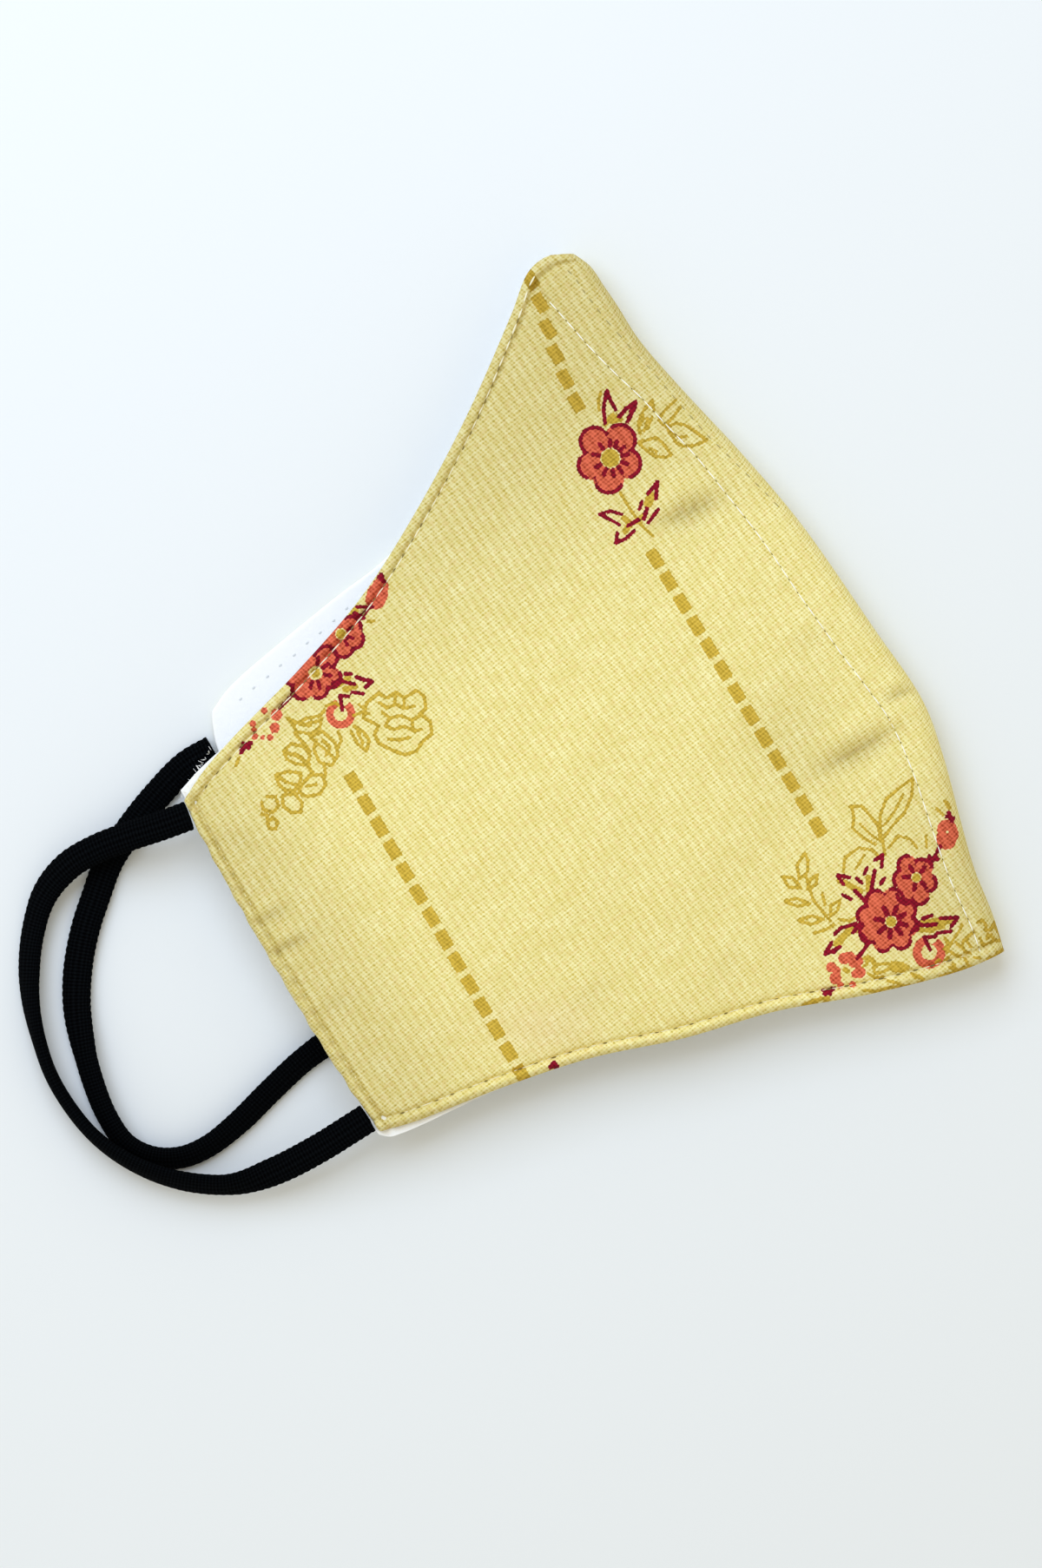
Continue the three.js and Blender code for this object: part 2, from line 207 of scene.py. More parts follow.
class Half:
    """One half of the folded mask: its four edges in plan and how it stands."""

    def __init__(self, top_rows, bottom_rows, ear_rows, side):
        self.top = top_line(top_rows)
        self.bottom = bottom_line(bottom_rows)
        self.ear = ear_line(ear_rows, self.bottom.points[0], self.top.points[0])
        self.side = side
        self.low_length = self.bottom.length - FOLD_RUN
        self.high_length = self.top.length - FOLD_RUN

    def flat_point(self, line, u):
        return line.at(u * (1 - FOLD_RUN / line.length))

    def bend_start(self, v):
        inside = np.clip(v, 0.0, 1.0)

        def inner(share):
            way = FOLD.heading(share)
            outward = np.stack([way[..., 1], -way[..., 0]], axis=-1)
            return FOLD.at(share) - outward * FOLD_RUN

        low_miss = self.flat_point(self.bottom, np.array(1.0)) - inner(np.array(0.0))
        high_miss = self.flat_point(self.top, np.array(1.0)) - inner(np.array(1.0))
        w = inside[..., None]
        return inner(inside) + low_miss * (1 - w) + high_miss * w

    def plan(self, u, v):
        uu = u[..., None]
        vv = v[..., None]
        point = self.flat_point(self.bottom, u) * (1 - vv) + self.flat_point(self.top, u) * vv
        point = point + self.ear.at(v) * (1 - uu) + self.bend_start(v) * uu
        zero = np.array(0.0)
        one = np.array(1.0)
        point = point - self.flat_point(self.bottom, zero) * (1 - uu) * (1 - vv)
        point = point - self.flat_point(self.bottom, one) * uu * (1 - vv)
        point = point - self.flat_point(self.top, zero) * (1 - uu) * vv
        return point - self.flat_point(self.top, one) * uu * vv

    def length_at(self, v):
        return self.low_length + (self.high_length - self.low_length) * v

    def height_at(self, u):
        return self.ear.length + (FOLD.length - self.ear.length) * u


# The way out of the cloth at the ear edge, in plan
EAR_OUTWARD = np.array([-1.0, 0.0])
# The tip of the nose is a little fuller on the fold's side than the outline points make it
SHOULDER_AT = (110.0, 110.8)
SHOULDER_RUN = 3.6
SHOULDER_REACH = 11.0
SHOULDER_OUT = 0.95
NEAR = Half(NEAR_TOP, NEAR_BOTTOM, NEAR_EAR, 1)
FAR = Half(FAR_TOP, FAR_BOTTOM, FAR_EAR, -1)


# Helpers

def bump(value):
    return np.exp(-value * value)


def soft_step(value, low, high):
    share = np.clip((value - low) / (high - low), 0, 1)
    return share * share * (3 - 2 * share)


def photo_to_plan(px, py):
    right = px - PHOTO_CORNER[0]
    up = PHOTO_CORNER[1] - py
    c, s = math.cos(PHOTO_TURN), math.sin(PHOTO_TURN)
    return (right * c + up * s) * PIXEL, (-right * s + up * c) * PIXEL + CORNER_DROP


def plan_to_photo(x, y):
    y = y - CORNER_DROP
    c, s = math.cos(PHOTO_TURN), math.sin(PHOTO_TURN)
    return PHOTO_CORNER[0] + (x * c - y * s) / PIXEL, PHOTO_CORNER[1] - (x * s + y * c) / PIXEL


def row_place(x, y, z):
    """Places in metres in the row's frame, from plan places and heights in mm."""
    return np.stack([x - ORIGIN[0], y - ORIGIN[1], z], axis=-1) * MM


def mesh_from(bm, name):
    mesh = bpy.data.meshes.new(name)
    bm.to_mesh(mesh)
    bm.free()
    return mesh


def vertex_places(mesh):
    places = np.zeros(len(mesh.vertices) * 3)
    mesh.vertices.foreach_get("co", places)
    return places.reshape(-1, 3)


def add_cloth_map(mesh, flat):
    """The UV map that a weave or knit follows: each vertex's place in mm on the flat material."""
    uv = mesh.uv_layers.new(name="cloth")
    corners = np.zeros(len(mesh.loops), int)
    mesh.loops.foreach_get("vertex_index", corners)
    uv.data.foreach_set("uv", flat[corners].ravel())
    mesh.update()


def add_piece(name, mesh, material, smooth=True):
    for polygon in mesh.polygons:
        polygon.use_smooth = smooth
    piece = bpy.data.objects.new(name, mesh)
    bpy.context.scene.collection.objects.link(piece)
    piece.data.materials.append(material)
    return piece


# The cloth's relief, in mm

# Slow unevenness of the cloth: how many waves, their paces in radians per mm, their shares, and
# about how high they reach together
DRAWS = np.random.default_rng(7)
WAVE_COUNT = 14
WAVE_PACES = (0.12, 0.42)
WAVE_SHARES = (0.5, 1.0)
WAVES_TOGETHER = 5.0
# Its height, the share of it at the edges, and how far in from them it is full
UNEVEN_HEIGHT = 0.32
UNEVEN_AT_EDGE = 0.4
UNEVEN_RUN = 12.0


def draw_wave():
    pace = DRAWS.uniform(*WAVE_PACES)
    turn = DRAWS.uniform(0, 2 * math.pi)
    start = DRAWS.uniform(0, 2 * math.pi)
    return pace, turn, start, DRAWS.uniform(*WAVE_SHARES)


WAVES = [draw_wave() for _ in range(WAVE_COUNT)]


def undulation(x, y):
    """Slow unevenness of cloth that has been sewn and folded, about one unit high."""
    total = np.zeros_like(x)
    for pace, turn, start, share in WAVES:
        total += share * np.sin(pace * (x * math.cos(turn) + y * math.sin(turn)) + start)
    return total / WAVES_TOGETHER


# How steeply the halves part from their edges inwards: powers of the sines across and upward
PARTING_ACROSS = 0.8
PARTING_UPWARD = 0.7


def opening_between(u, v):
    """Space between the two linings at a share across and upward."""
    across = np.sin(np.pi * np.clip(u, 0, 1))
    upward = np.sin(np.pi * np.clip(v, 0, 1))
    edge = EAR_OPENING + (FOLD_OPENING - EAR_OPENING) * soft_step(u, 0, 1)
    return edge + (MIDDLE_OPENING - edge) * across ** PARTING_ACROSS * upward ** PARTING_UPWARD


# Creases and dents of the near half, as photograph pixels: from, to, width and depth in mm
CREASES = [
    {"from": (950, 884), "to": (1032, 840), "wide": 1.6, "deep": 1.9},
    {"from": (1018, 806), "to": (1056, 791), "wide": 0.9, "deep": 1.1},
    {"from": (762, 602), "to": (830, 574), "wide": 1.6, "deep": 1.9},
    {"from": (905, 745), "to": (960, 730), "wide": 2.2, "deep": 0.3},
    {"from": (296, 1063), "to": (330, 1048), "wide": 1.0, "deep": 0.75},
    {"from": (316, 1097), "to": (354, 1081), "wide": 0.9, "deep": 1.0},
    {"from": (250, 960), "to": (300, 975), "wide": 1.8, "deep": 0.35},
    {"from": (365, 1165), "to": (410, 1150), "wide": 1.8, "deep": 0.3},
    {"from": (660, 1165), "to": (700, 1130), "wide": 2.4, "deep": 0.3},
    {"from": (820, 1130), "to": (850, 1095), "wide": 2.2, "deep": 0.25},
    {"from": (640, 350), "to": (700, 390), "wide": 2.0, "deep": 0.3},
]
# A crease's steep and slow side, and the place and width of the low ridge beyond its steep side, as
# shares of its width; the ridge's share of its depth; and where it fades out, as a share of its reach
STEEP_SIDE = 0.7
SLOW_SIDE = 1.5
RIDGE_AWAY = 2.2
RIDGE_WIDTH = 1.2
RIDGE_SHARE = 0.4
CREASE_FADE = 0.95


def creases_at(x, y):
    """How far the creases pull the near half down."""
    depth = np.zeros_like(x)
    for crease in CREASES:
        ax, ay = photo_to_plan(*crease["from"])
        bx, by = photo_to_plan(*crease["to"])
        reach = math.hypot(bx - ax, by - ay) / 2
        way = ((bx - ax) / (2 * reach), (by - ay) / (2 * reach))
        lengthways = (x - (ax + bx) / 2) * way[0] + (y - (ay + by) / 2) * way[1]
        sideways = -(x - (ax + bx) / 2) * way[1] + (y - (ay + by) / 2) * way[0]
        valley = bump(sideways / np.where(sideways > 0, STEEP_SIDE, SLOW_SIDE) / crease["wide"])
        from_ridge = sideways - RIDGE_AWAY * crease["wide"]
        ridge = RIDGE_SHARE * bump(from_ridge / (RIDGE_WIDTH * crease["wide"]))
        depth = depth + crease["deep"] * bump(lengthways / (reach * CREASE_FADE)) * (valley - ridge)
    return depth


# How far the topstitching lies in from the fold, by height
FOLD_STITCH_UP = [0.0, 0.10, 0.22, 0.35, 0.50, 0.65, 0.70, 0.80, 0.87, 0.93, 1.0]
FOLD_STITCH_IN = [4.3, 4.9, 5.9, 7.2, 7.8, 7.4, 7.1, 7.3, 8.4, 9.9, 10.2]
# A second row of stitches nearer the fold, towards the nose, drawn as darker dashes of painted shade
INNER_STITCH_UP = [0.60, 0.66, 0.72, 0.82, 0.87, 0.90, 0.94, 0.99]
INNER_STITCH_IN = [1.6, 2.4, 3.1, 2.5, 2.9, 3.8, 4.5, 4.3]


def stitch_in(v):
    return np.interp(v, FOLD_STITCH_UP, FOLD_STITCH_IN)


# Section of a turned hem: its rounded edge, the puff between edge and stitches, the groove that the
# stitches pull, deeper once in each stitch, and the slow pull of the cloth beside it
HEM_ROUND = 0.65
HEM_ROUND_DROP = 0.6
PUFF_HEIGHT = 0.34
PUFF_AT = 1.05
PUFF_WIDTH = 0.7
PUFF_PINCH = 0.45
PUFF_SWELL = 0.2
PUFF_SWELL_PITCH = 7.3
GROOVE_DEPTH = 0.66
GROOVE_PINCH = 0.14
GROOVE_WIDTH = 0.42
PULL_DEPTH = 0.12
PULL_WIDTH = 1.6
PULL_PITCH = 9.0
# The ear edge is sewn tighter than the hems
EAR_TIGHTNESS = 1.3
# Beside the centre seam: the stitches' groove, the step over the seam allowance, a faint line
# between them and the fold, and puckers along the stitches
SEAM_GROOVE = 0.30
SEAM_GROOVE_WIDTH = 0.45
ALLOWANCE_STEP = 0.22
ALLOWANCE_PAST = 0.5
ALLOWANCE_EASE = 0.35
FAINT_LINE = 0.10
FAINT_LINE_AT = 2.5
FAINT_LINE_WIDTH = 0.4
PUCKER_HEIGHT = 0.09
PUCKER_WIDTH = 2.6
PUCKER_PITCH = 5.3
PUCKER_WANDER = 0.8
PUCKER_WANDER_PACE = 40
# Rounded edge of the plies that aren't topstitched
PLAIN_ROUND = 0.7
PLAIN_ROUND_DROP = 0.55


def rounded_edge(distance, run, drop):
    """Height of an edge that is rounded over a run, at a distance in from it."""
    within = np.clip(1 - distance / run, 0, 1)
    return -drop * (1 - np.sqrt(np.maximum(1 - within * within, 0)))


def hem_relief(distance, along, stitch):
    """Height of a turned and topstitched edge at a distance in from it."""
    pinch = np.cos(2 * np.pi * (along - HEM_STITCH) / STITCH_PITCH)
    swell = 1 - PUFF_PINCH * pinch + PUFF_SWELL * np.sin(along * 2 * np.pi / PUFF_SWELL_PITCH)
    puff = PUFF_HEIGHT * bump((distance - PUFF_AT) / PUFF_WIDTH) * swell
    groove = (-GROOVE_DEPTH - GROOVE_PINCH * pinch) * bump((distance - stitch) / GROOVE_WIDTH)
    pull = -PULL_DEPTH * bump((distance - stitch) / PULL_WIDTH) * np.sin(2 * np.pi * along / PULL_PITCH)
    return rounded_edge(distance, HEM_ROUND, HEM_ROUND_DROP) + puff + groove + pull


def seam_relief(from_fold, v, height):
    """Height of the cloth beside the centre seam's stitches, at a distance in from the fold."""
    from_seam = from_fold - stitch_in(v)
    relief = -SEAM_GROOVE * bump(from_seam / SEAM_GROOVE_WIDTH)
    relief = relief + ALLOWANCE_STEP / (1 + np.exp((from_seam + ALLOWANCE_PAST) / ALLOWANCE_EASE))
    relief = relief - FAINT_LINE * bump((from_fold - FAINT_LINE_AT) / FAINT_LINE_WIDTH)
    along = 2 * np.pi * v * height / PUCKER_PITCH + PUCKER_WANDER * np.sin(v * PUCKER_WANDER_PACE)
    return relief + PUCKER_HEIGHT * bump(from_seam / PUCKER_WIDTH) * np.sin(along)


def near_relief(v, column, length, height, x, y, turn):
    """Everything that raises or lowers the near half's outer face."""
    from_fold = np.where(turn > 0, FOLD_RUN * (1 - np.sin(turn)), length - column + FOLD_RUN)
    from_bottom = v * height
    from_top = (1 - v) * height
    relief = hem_relief(from_bottom, column, HEM_STITCH) + hem_relief(from_top, column, HEM_STITCH)
    relief = relief + EAR_TIGHTNESS * hem_relief(column, from_bottom, EAR_STITCH) * (turn <= 0)
    relief = relief + seam_relief(from_fold, v, height)
    inward = np.clip(np.minimum(np.minimum(from_bottom, from_top), column) / UNEVEN_RUN, 0, 1)
    share = UNEVEN_AT_EDGE + (1 - UNEVEN_AT_EDGE) * inward
    return (relief + UNEVEN_HEIGHT * undulation(x, y) * share) * np.cos(turn)


def plain_relief(distance_bottom, distance_top, column, turn):
    """Height of a ply that only has rounded edges."""
    edge = np.minimum(np.minimum(distance_bottom, distance_top), column)
    return rounded_edge(edge, PLAIN_ROUND, PLAIN_ROUND_DROP) * np.cos(turn)


# Meshes of the plies

# Where the columns and rows of cells lie: in from a hem's edge, before the seam's stitches and, as
# shares of what is left to the bend, after them
HEM_STATIONS = [
    0, 0.12, 0.3, 0.55, 0.85, 1.15, 1.4, 1.6, 1.75, 1.9, 2.05, 2.2, 2.35, 2.55, 2.8, 3.3, 4.2, 5.4
]
BEFORE_SEAM = [2.4, 1.6, 1.1, 0.75, 0.5, 0.3, 0.14]
AFTER_SEAM = [1.0, 0.93, 0.85, 0.75, 0.6, 0.4, 0.2, 0.0]
# Height of a half at which its rows are first shared out
MEAN_HEIGHT = 115.0
# How much of the outer face's relief a ply's inner face follows; below zero its edges round the other way
NEAR_INNER_SHARE = 0.25
PLAIN_INNER_SHARE = -0.6
# Waviness of the ear edges: heights and pitches, and how far in it reaches
EAR_WAVE = 0.09
EAR_WAVE_PITCH = 6.7
EAR_RIPPLE = 0.06
EAR_RIPPLE_PITCH = 4.3
EAR_WAVE_REACH = 1.8
# Steps in which the run of the cloth over the fold is added up
BEND_STEPS = 17


def columns_to_distance(s, length, seam_at, middle):
    """Distance from the ear edge at a column number, and the number of columns past the bend's start."""
    hem = np.array(HEM_STATIONS, float)
    n_hem = len(hem) - 1
    n_before = len(BEFORE_SEAM)
    n_after = len(AFTER_SEAM) - 1
    q = seam_at - FOLD_RUN
    last = length - q - BEFORE_SEAM[0]
    out = np.interp(s, np.arange(n_hem + 1), hem)
    share = (s - n_hem) / middle
    out = np.where(share > 0, hem[-1] + (last - hem[-1]) * share, out)
    k = s - n_hem - middle
    before = np.interp(k, np.arange(n_before + 1), [*BEFORE_SEAM, 0.0])
    out = np.where(k > 0, length - q - before, out)
    k = k - n_before
    after = np.interp(k, np.arange(n_after + 1), AFTER_SEAM)
    out = np.where(k > 0, length - q * after, out)
    k = k - n_after
    return out, np.clip(k, 0, None)


def rows_to_distance(t, height, middle):
    """Distance from the lower edge at a row number."""
    hem = np.array(HEM_STATIONS, float)
    n_hem = len(hem) - 1
    low = np.interp(t, np.arange(n_hem + 1), hem)
    share = (t - n_hem) / middle
    out = np.where(share > 0, hem[-1] + (height - 2 * hem[-1]) * share, low)
    k = t - n_hem - middle
    high = height - np.interp(n_hem - k, np.arange(n_hem + 1), hem)
    return np.where(k > 0, high, out)


def set_down(half, column, length, v, turn, depth, outside, relief):
    """Places a point of the cloth: its distance from the ear edge, share of the height, turn and depth."""
    u = column / length
    height = half.height_at(u)
    plan = half.plan(u, v)
    lift = np.zeros_like(u)
    if relief == "near":
        lift = near_relief(v, column, length, height, plan[..., 0], plan[..., 1], turn)
        lift = np.where(outside, lift, NEAR_INNER_SHARE * lift)
    elif relief == "plain":
        lift = plain_relief(v * height, (1 - v) * height, column, turn)
        lift = np.where(outside, lift, PLAIN_INNER_SHARE * lift)
    outward = FOLD.at(np.clip(v, 0, 1)) - half.bend_start(v)
    along_ear = v * height
    pull = EAR_WAVE * np.sin(2 * np.pi * along_ear / EAR_WAVE_PITCH)
    pull = pull + EAR_RIPPLE * np.sin(2 * np.pi * along_ear / EAR_RIPPLE_PITCH + half.side)
    plan = plan + (pull * np.exp(-column / EAR_WAVE_REACH))[..., None] * EAR_OUTWARD
    plan = plan + outward * (np.sin(turn) * (FOLD_RUN - depth) / FOLD_RUN)[..., None]
    shoulder = SHOULDER_OUT * bump((plan[..., 1] - SHOULDER_AT[1]) / SHOULDER_RUN)
    plan[..., 0] += shoulder * soft_step(plan[..., 0], SHOULDER_AT[0] - SHOULDER_REACH, SHOULDER_AT[0])
    seam_height = FOLD_HEIGHT / 2 + half.side * SEAM_GAP / 2
    face = 0.0
    if half.side > 0:
        face = 2 * BOTH_PLIES + opening_between(u, v) - creases_at(plan[..., 0], plan[..., 1])
    drop = (np.abs(face - seam_height) - depth + lift) * np.cos(turn)
    return plan[..., 0], plan[..., 1], seam_height + half.side * drop


def shape_ply(half, s, t, outside, depths, counts, inset=0.0, slip=0.0, rise=0.0, relief=None):
    """Places of a ply's vertices from their column and row numbers and their face."""
    middle_columns, middle_rows, bend_steps = counts
    rough_v = rows_to_distance(t, MEAN_HEIGHT, middle_rows) / MEAN_HEIGHT
    length = half.length_at(rough_v)
    column, bend = columns_to_distance(s, length - inset, stitch_in(rough_v), middle_columns)
    ear_slip = EAR_SLIP * slip * np.clip(1 - rough_v * MEAN_HEIGHT / EAR_SLIP_UP, 0, 1)
    column = column + inset - ear_slip * np.clip(1 - column / EAR_SLIP_RUN, 0, 1)
    height = half.height_at(column / length)
    slipped = slip * np.clip(1 - column / LINING_SHOW_RUN, 0, 1) ** LINING_SHOW_POWER
    corner = np.clip(1 - (column + CORNER_PAST) / CORNER_RUN, 0, 1) ** 2
    slipped = slipped * (1 - CORNER_ROUND * corner)
    chin = np.clip((column - LINING_CHIN_START) / LINING_CHIN_RUN, 0, 1)
    slipped = slipped + LINING_CHIN_SHARE * slip * chin
    risen = rise * np.clip(1 - column / LINING_RISE_RUN, 0, 1)
    row = rows_to_distance(t, height - 2 * inset + slipped + risen, middle_rows) + inset - slipped
    depth = np.where(outside, depths[0], depths[1])
    turn = bend / bend_steps * (np.pi / 2)
    return set_down(half, column, length, row / height, turn, depth, outside, relief)


def unrolled(half, s, t, counts, inset):
    """How much further out than its place a point over the fold lies on the flat cloth."""
    middle_columns, middle_rows, bend_steps = counts
    v = rows_to_distance(t, MEAN_HEIGHT, middle_rows) / MEAN_HEIGHT
    length = half.length_at(v)
    _, bend = columns_to_distance(s, length - inset, stitch_in(v), middle_columns)
    bends = np.linspace(0, math.pi / 2, BEND_STEPS)
    steps = np.hypot(FOLD_RUN * np.diff(np.sin(bends)), FOLD_HEIGHT / 2 * np.diff(np.cos(bends)))
    extra = np.concatenate([[0], np.cumsum(steps)]) - FOLD_RUN * np.sin(bends)
    outward = (FOLD.at(np.clip(v, 0, 1)) - half.bend_start(v)) / FOLD_RUN
    turn = bend / bend_steps * (np.pi / 2)
    return outward * np.interp(turn, bends, extra)[..., None]


def grid_ply(counts):
    """A closed box of one cell's thickness: a grid sheet with its copy below and a wall round it."""
    middle_columns, middle_rows, bend_steps = counts
    n_hem = len(HEM_STATIONS) - 1
    columns = n_hem + middle_columns + len(BEFORE_SEAM) + len(AFTER_SEAM) - 1 + bend_steps
    rows = 2 * n_hem + middle_rows
    bm = bmesh.new()
    bmesh.ops.create_grid(bm, x_segments=columns, y_segments=rows, size=0.5)
    bmesh.ops.translate(bm, verts=bm.verts, vec=(0.5, 0.5, 0.0))
    bmesh.ops.scale(bm, verts=bm.verts, vec=(columns, rows, 1.0))
    grown = bmesh.ops.extrude_face_region(bm, geom=bm.faces[:])
    upper = [item for item in grown["geom"] if isinstance(item, bmesh.types.BMVert)]
    bmesh.ops.translate(bm, verts=upper, vec=(0, 0, 1.0))
    bmesh.ops.recalc_face_normals(bm, faces=bm.faces)
    return bm


def refine(bm, half, counts, wanted, rounds):
    """Halves the outer face's cells where the print needs it."""
    for level in range(rounds):
        bm.faces.ensure_lookup_table()
        top = [f for f in bm.faces if all(v.co.z > 0.5 for v in f.verts)]
        centres = np.array([f.calc_center_median() for f in top])
        x, y, _ = shape_ply(half, centres[:, 0], centres[:, 1], np.ones(len(top), bool), (0.0, PLY), counts)
        chosen = [f for f, use in zip(top, wanted(x, y, level)) if use]
        edges = list({e for f in chosen for e in f.edges})
        bmesh.ops.subdivide_edges(bm, edges=edges, cuts=1, use_grid_fill=True)


def finish_ply(bm, name, half, depths, counts, material, inset=0.0, slip=0.0, rise=0.0, relief=None):
    """Bends a grid ply to its half's shape; also gives its vertices' plan places and which are outside."""
    mesh = mesh_from(bm, name)
    cells = vertex_places(mesh)
    outside = cells[:, 2] > 0.5
    if half.side < 0:
        outside = ~outside
    x, y, z = shape_ply(half, cells[:, 0], cells[:, 1], outside, depths, counts, inset, slip, rise, relief)
    mesh.vertices.foreach_set("co", row_place(x, y, z).ravel())
    flat = np.stack([x, y], axis=1) + unrolled(half, cells[:, 0], cells[:, 1], counts, inset)
    add_cloth_map(mesh, flat)
    return add_piece(name, mesh, material), (x, y, outside)


# The print. Places are pixels of the photograph, and strokes and discs are charted.

def ticks(cx, cy, inner, outer, turns):
    """Short lines that point away from a centre, from one radius to another, at turns in degrees."""
    ways = [(math.cos(math.radians(a)), -math.sin(math.radians(a))) for a in turns]
    return [[(cx + reach * x, cy + reach * y) for reach in (inner, outer)] for x, y in ways]


# Flowers as discs: the centres and radii of their petals
PETALS = [
    [(685, 509, 17.5), (714, 507, 18.5), (721, 534, 17.5), (701, 551, 18), (682, 536, 17), (702, 530, 24)],
    [(435, 684, 12.5), (433, 690, 12), (438, 676, 10)],
    [(404, 722, 13), (384, 722, 11), (380, 738, 10), (396, 746, 12), (408, 736, 12), (394, 731, 20)],
    [(376, 757, 14), (381, 780, 13), (367, 793, 12), (349, 793, 13), (338, 778, 12), (352, 758, 13),
     (361, 776, 23)],
    [(1009, 1037, 13), (1028, 1035, 13), (1042, 1048, 13), (1046, 1066, 12), (1037, 1080, 13),
     (1017, 1084, 12), (1002, 1073, 13), (998, 1054, 12), (1022, 1060, 30)],
    [(1045, 996, 12), (1062, 1000, 12), (1068, 1016, 11), (1059, 1031, 11), (1043, 1030, 11),
     (1040, 1012, 12), (1054, 1013, 20)],
    [(1091, 955, 12), (1090, 966, 12), (1094, 960, 11)],
    [(972, 1103, 7), (978, 1102, 7), (987, 1106, 7), (982, 1109, 5), (990, 1119, 7), (985, 1121, 5)],
    [(957, 1113, 6), (963, 1117, 5), (962, 1126, 7), (968, 1134, 4), (982, 1133, 4)],
    [(305, 818, 4), (319, 823, 7), (317, 838, 6), (312, 849, 4), (303, 849, 3), (294, 848, 4),
     (292, 833, 4), (293, 840, 3)],
]
# Which flowers carry a dark outline, and the gaps in it, as places and radii
OUTLINED = [
    {"petals": 0, "gaps": [(699, 493, 4), (668, 523, 3), (719, 554, 5), (681, 556, 5)]},
    {"petals": 2, "gaps": [(376, 714, 9), (390, 710, 8), (368, 738, 8), (372, 746, 8), (414, 728, 3)]},
    {"petals": 3, "gaps": [(348, 748, 7), (334, 765, 6), (357, 800, 5), (390, 770, 3)]},
    {"petals": 4,
     "gaps": [(1019, 1024, 4), (986, 1064, 4), (1004, 1093, 6), (1028, 1094, 4), (1054, 1078, 5)]},
    {"petals": 5, "gaps": [(1052, 985, 4), (1072, 1004, 4), (1036, 1024, 5), (1068, 1030, 3)]},
]
# Buds drawn as a coral ring with an opening
RINGS = [
    {"centre": (393, 822), "inner": 8.0, "outer": 17.0, "open": (396, 806, 7)},
    {"centre": (1070, 1096), "inner": 9.0, "outer": 19.0, "open": (1072, 1078, 8)},
]
# Flower eyes: a bare ring round a mustard centre
EYES = [
    {"at": (703, 528), "bare": 12.0, "centre": 10.6},
    {"at": (393, 730), "bare": 6.5, "centre": 5.5},
    {"at": (364, 775), "bare": 8.0, "centre": 5.5},
    {"at": (1026, 1061), "bare": 7.0, "centre": 6.0},
    {"at": (1055, 1010), "bare": 6.0, "centre": 5.0},
    {"at": (1091, 958), "bare": 1.8, "centre": 0.0},
]
# Dark strokes: half width in pixels and the points of the line
DARK = [
    (1.9, [(697, 488), (695, 473), (697, 458), (699, 450), (703, 461), (709, 472)]),
    (2.3, [(713, 480), (721, 471), (732, 463), (731, 468), (723, 485)]),
    (1.7, [(716, 593), (703, 589), (690, 593), (703, 599), (713, 605)]),
    (1.8, [(711, 614), (709, 626), (720, 621), (730, 612)]),
    (2.1, [(723, 606), (735, 599)]),
    (2.2, [(745, 586), (741, 598)]),
    (1.7, [(739, 578), (736, 587)]),
    (1.8, [(758, 587), (746, 603)]),
    (1.9, [(746, 569), (757, 555), (755, 575)]),
    (2.5, [(439, 662), (441, 668)]), (2.0, [(436, 664), (443, 670)]),
    (2.0, [(427, 697), (420, 707), (412, 712)]), (2.0, [(409, 706), (419, 712)]),
    (1.6, [(430, 699), (411, 699)]),
    (2.2, [(411, 780), (429, 785), (422, 791)]), (2.0, [(398, 776), (405, 776)]),
    (1.8, [(384, 791), (392, 783), (400, 786), (409, 788)]), (2.0, [(384, 786), (393, 784)]),
    (1.8, [(406, 797), (419, 799)]),
    (1.9, [(402, 802), (392, 801), (395, 818)]),
    (1.8, [(338, 799), (330, 808), (322, 816)]),
    (2.3, [(278, 862), (290, 855)]), (2.3, [(281, 856), (287, 861)]), (1.8, [(278, 867), (283, 860)]),
    (1.9, [(964, 1007), (978, 1010)]), (1.8, [(964, 1008), (971, 1018)]),
    (1.8, [(986, 1011), (992, 1016)]), (2.2, [(984, 1025), (996, 1037)]),
    (1.8, [(970, 1030), (980, 1035)]),
    (1.9, [(1007, 990), (1016, 984), (1015, 998)]), (1.8, [(998, 999), (995, 1006)]),
    (2.1, [(1007, 1002), (1003, 1025), (996, 1036)]), (2.0, [(1018, 1011), (1014, 1017)]),
    (2.2, [(1055, 1064), (1066, 1065), (1078, 1064)]), (2.0, [(1062, 1057), (1073, 1054)]),
    (2.0, [(1083, 1057), (1103, 1056), (1096, 1066)]), (1.8, [(1079, 1074), (1095, 1072)]),
    (2.2, [(1050, 1073), (1058, 1062)]),
    (1.9, [(1077, 1078), (1064, 1079), (1071, 1093)]),
    (1.9, [(961, 1075), (968, 1068), (986, 1063)]), (2.2, [(982, 1073), (989, 1065)]),
    (2.0, [(957, 1085), (950, 1098), (967, 1090)]), (1.7, [(950, 1096), (961, 1096)]),
    (2.0, [(993, 1076), (1000, 1085), (994, 1094), (987, 1103)]),
    (2.3, [(950, 1144), (960, 1138)]), (2.0, [(948, 1140), (956, 1144)]),
    (2.4, [(1093, 936), (1097, 945)]), (1.8, [(1090, 940), (1099, 942)]),
    (1.9, [(1083, 974), (1074, 990)]), (2.0, [(1066, 991), (1080, 989)]),
    (1.8, [(1070, 985), (1073, 996)]),
    (2.6, [(634, 1228), (638, 1223), (642, 1229)]),
]
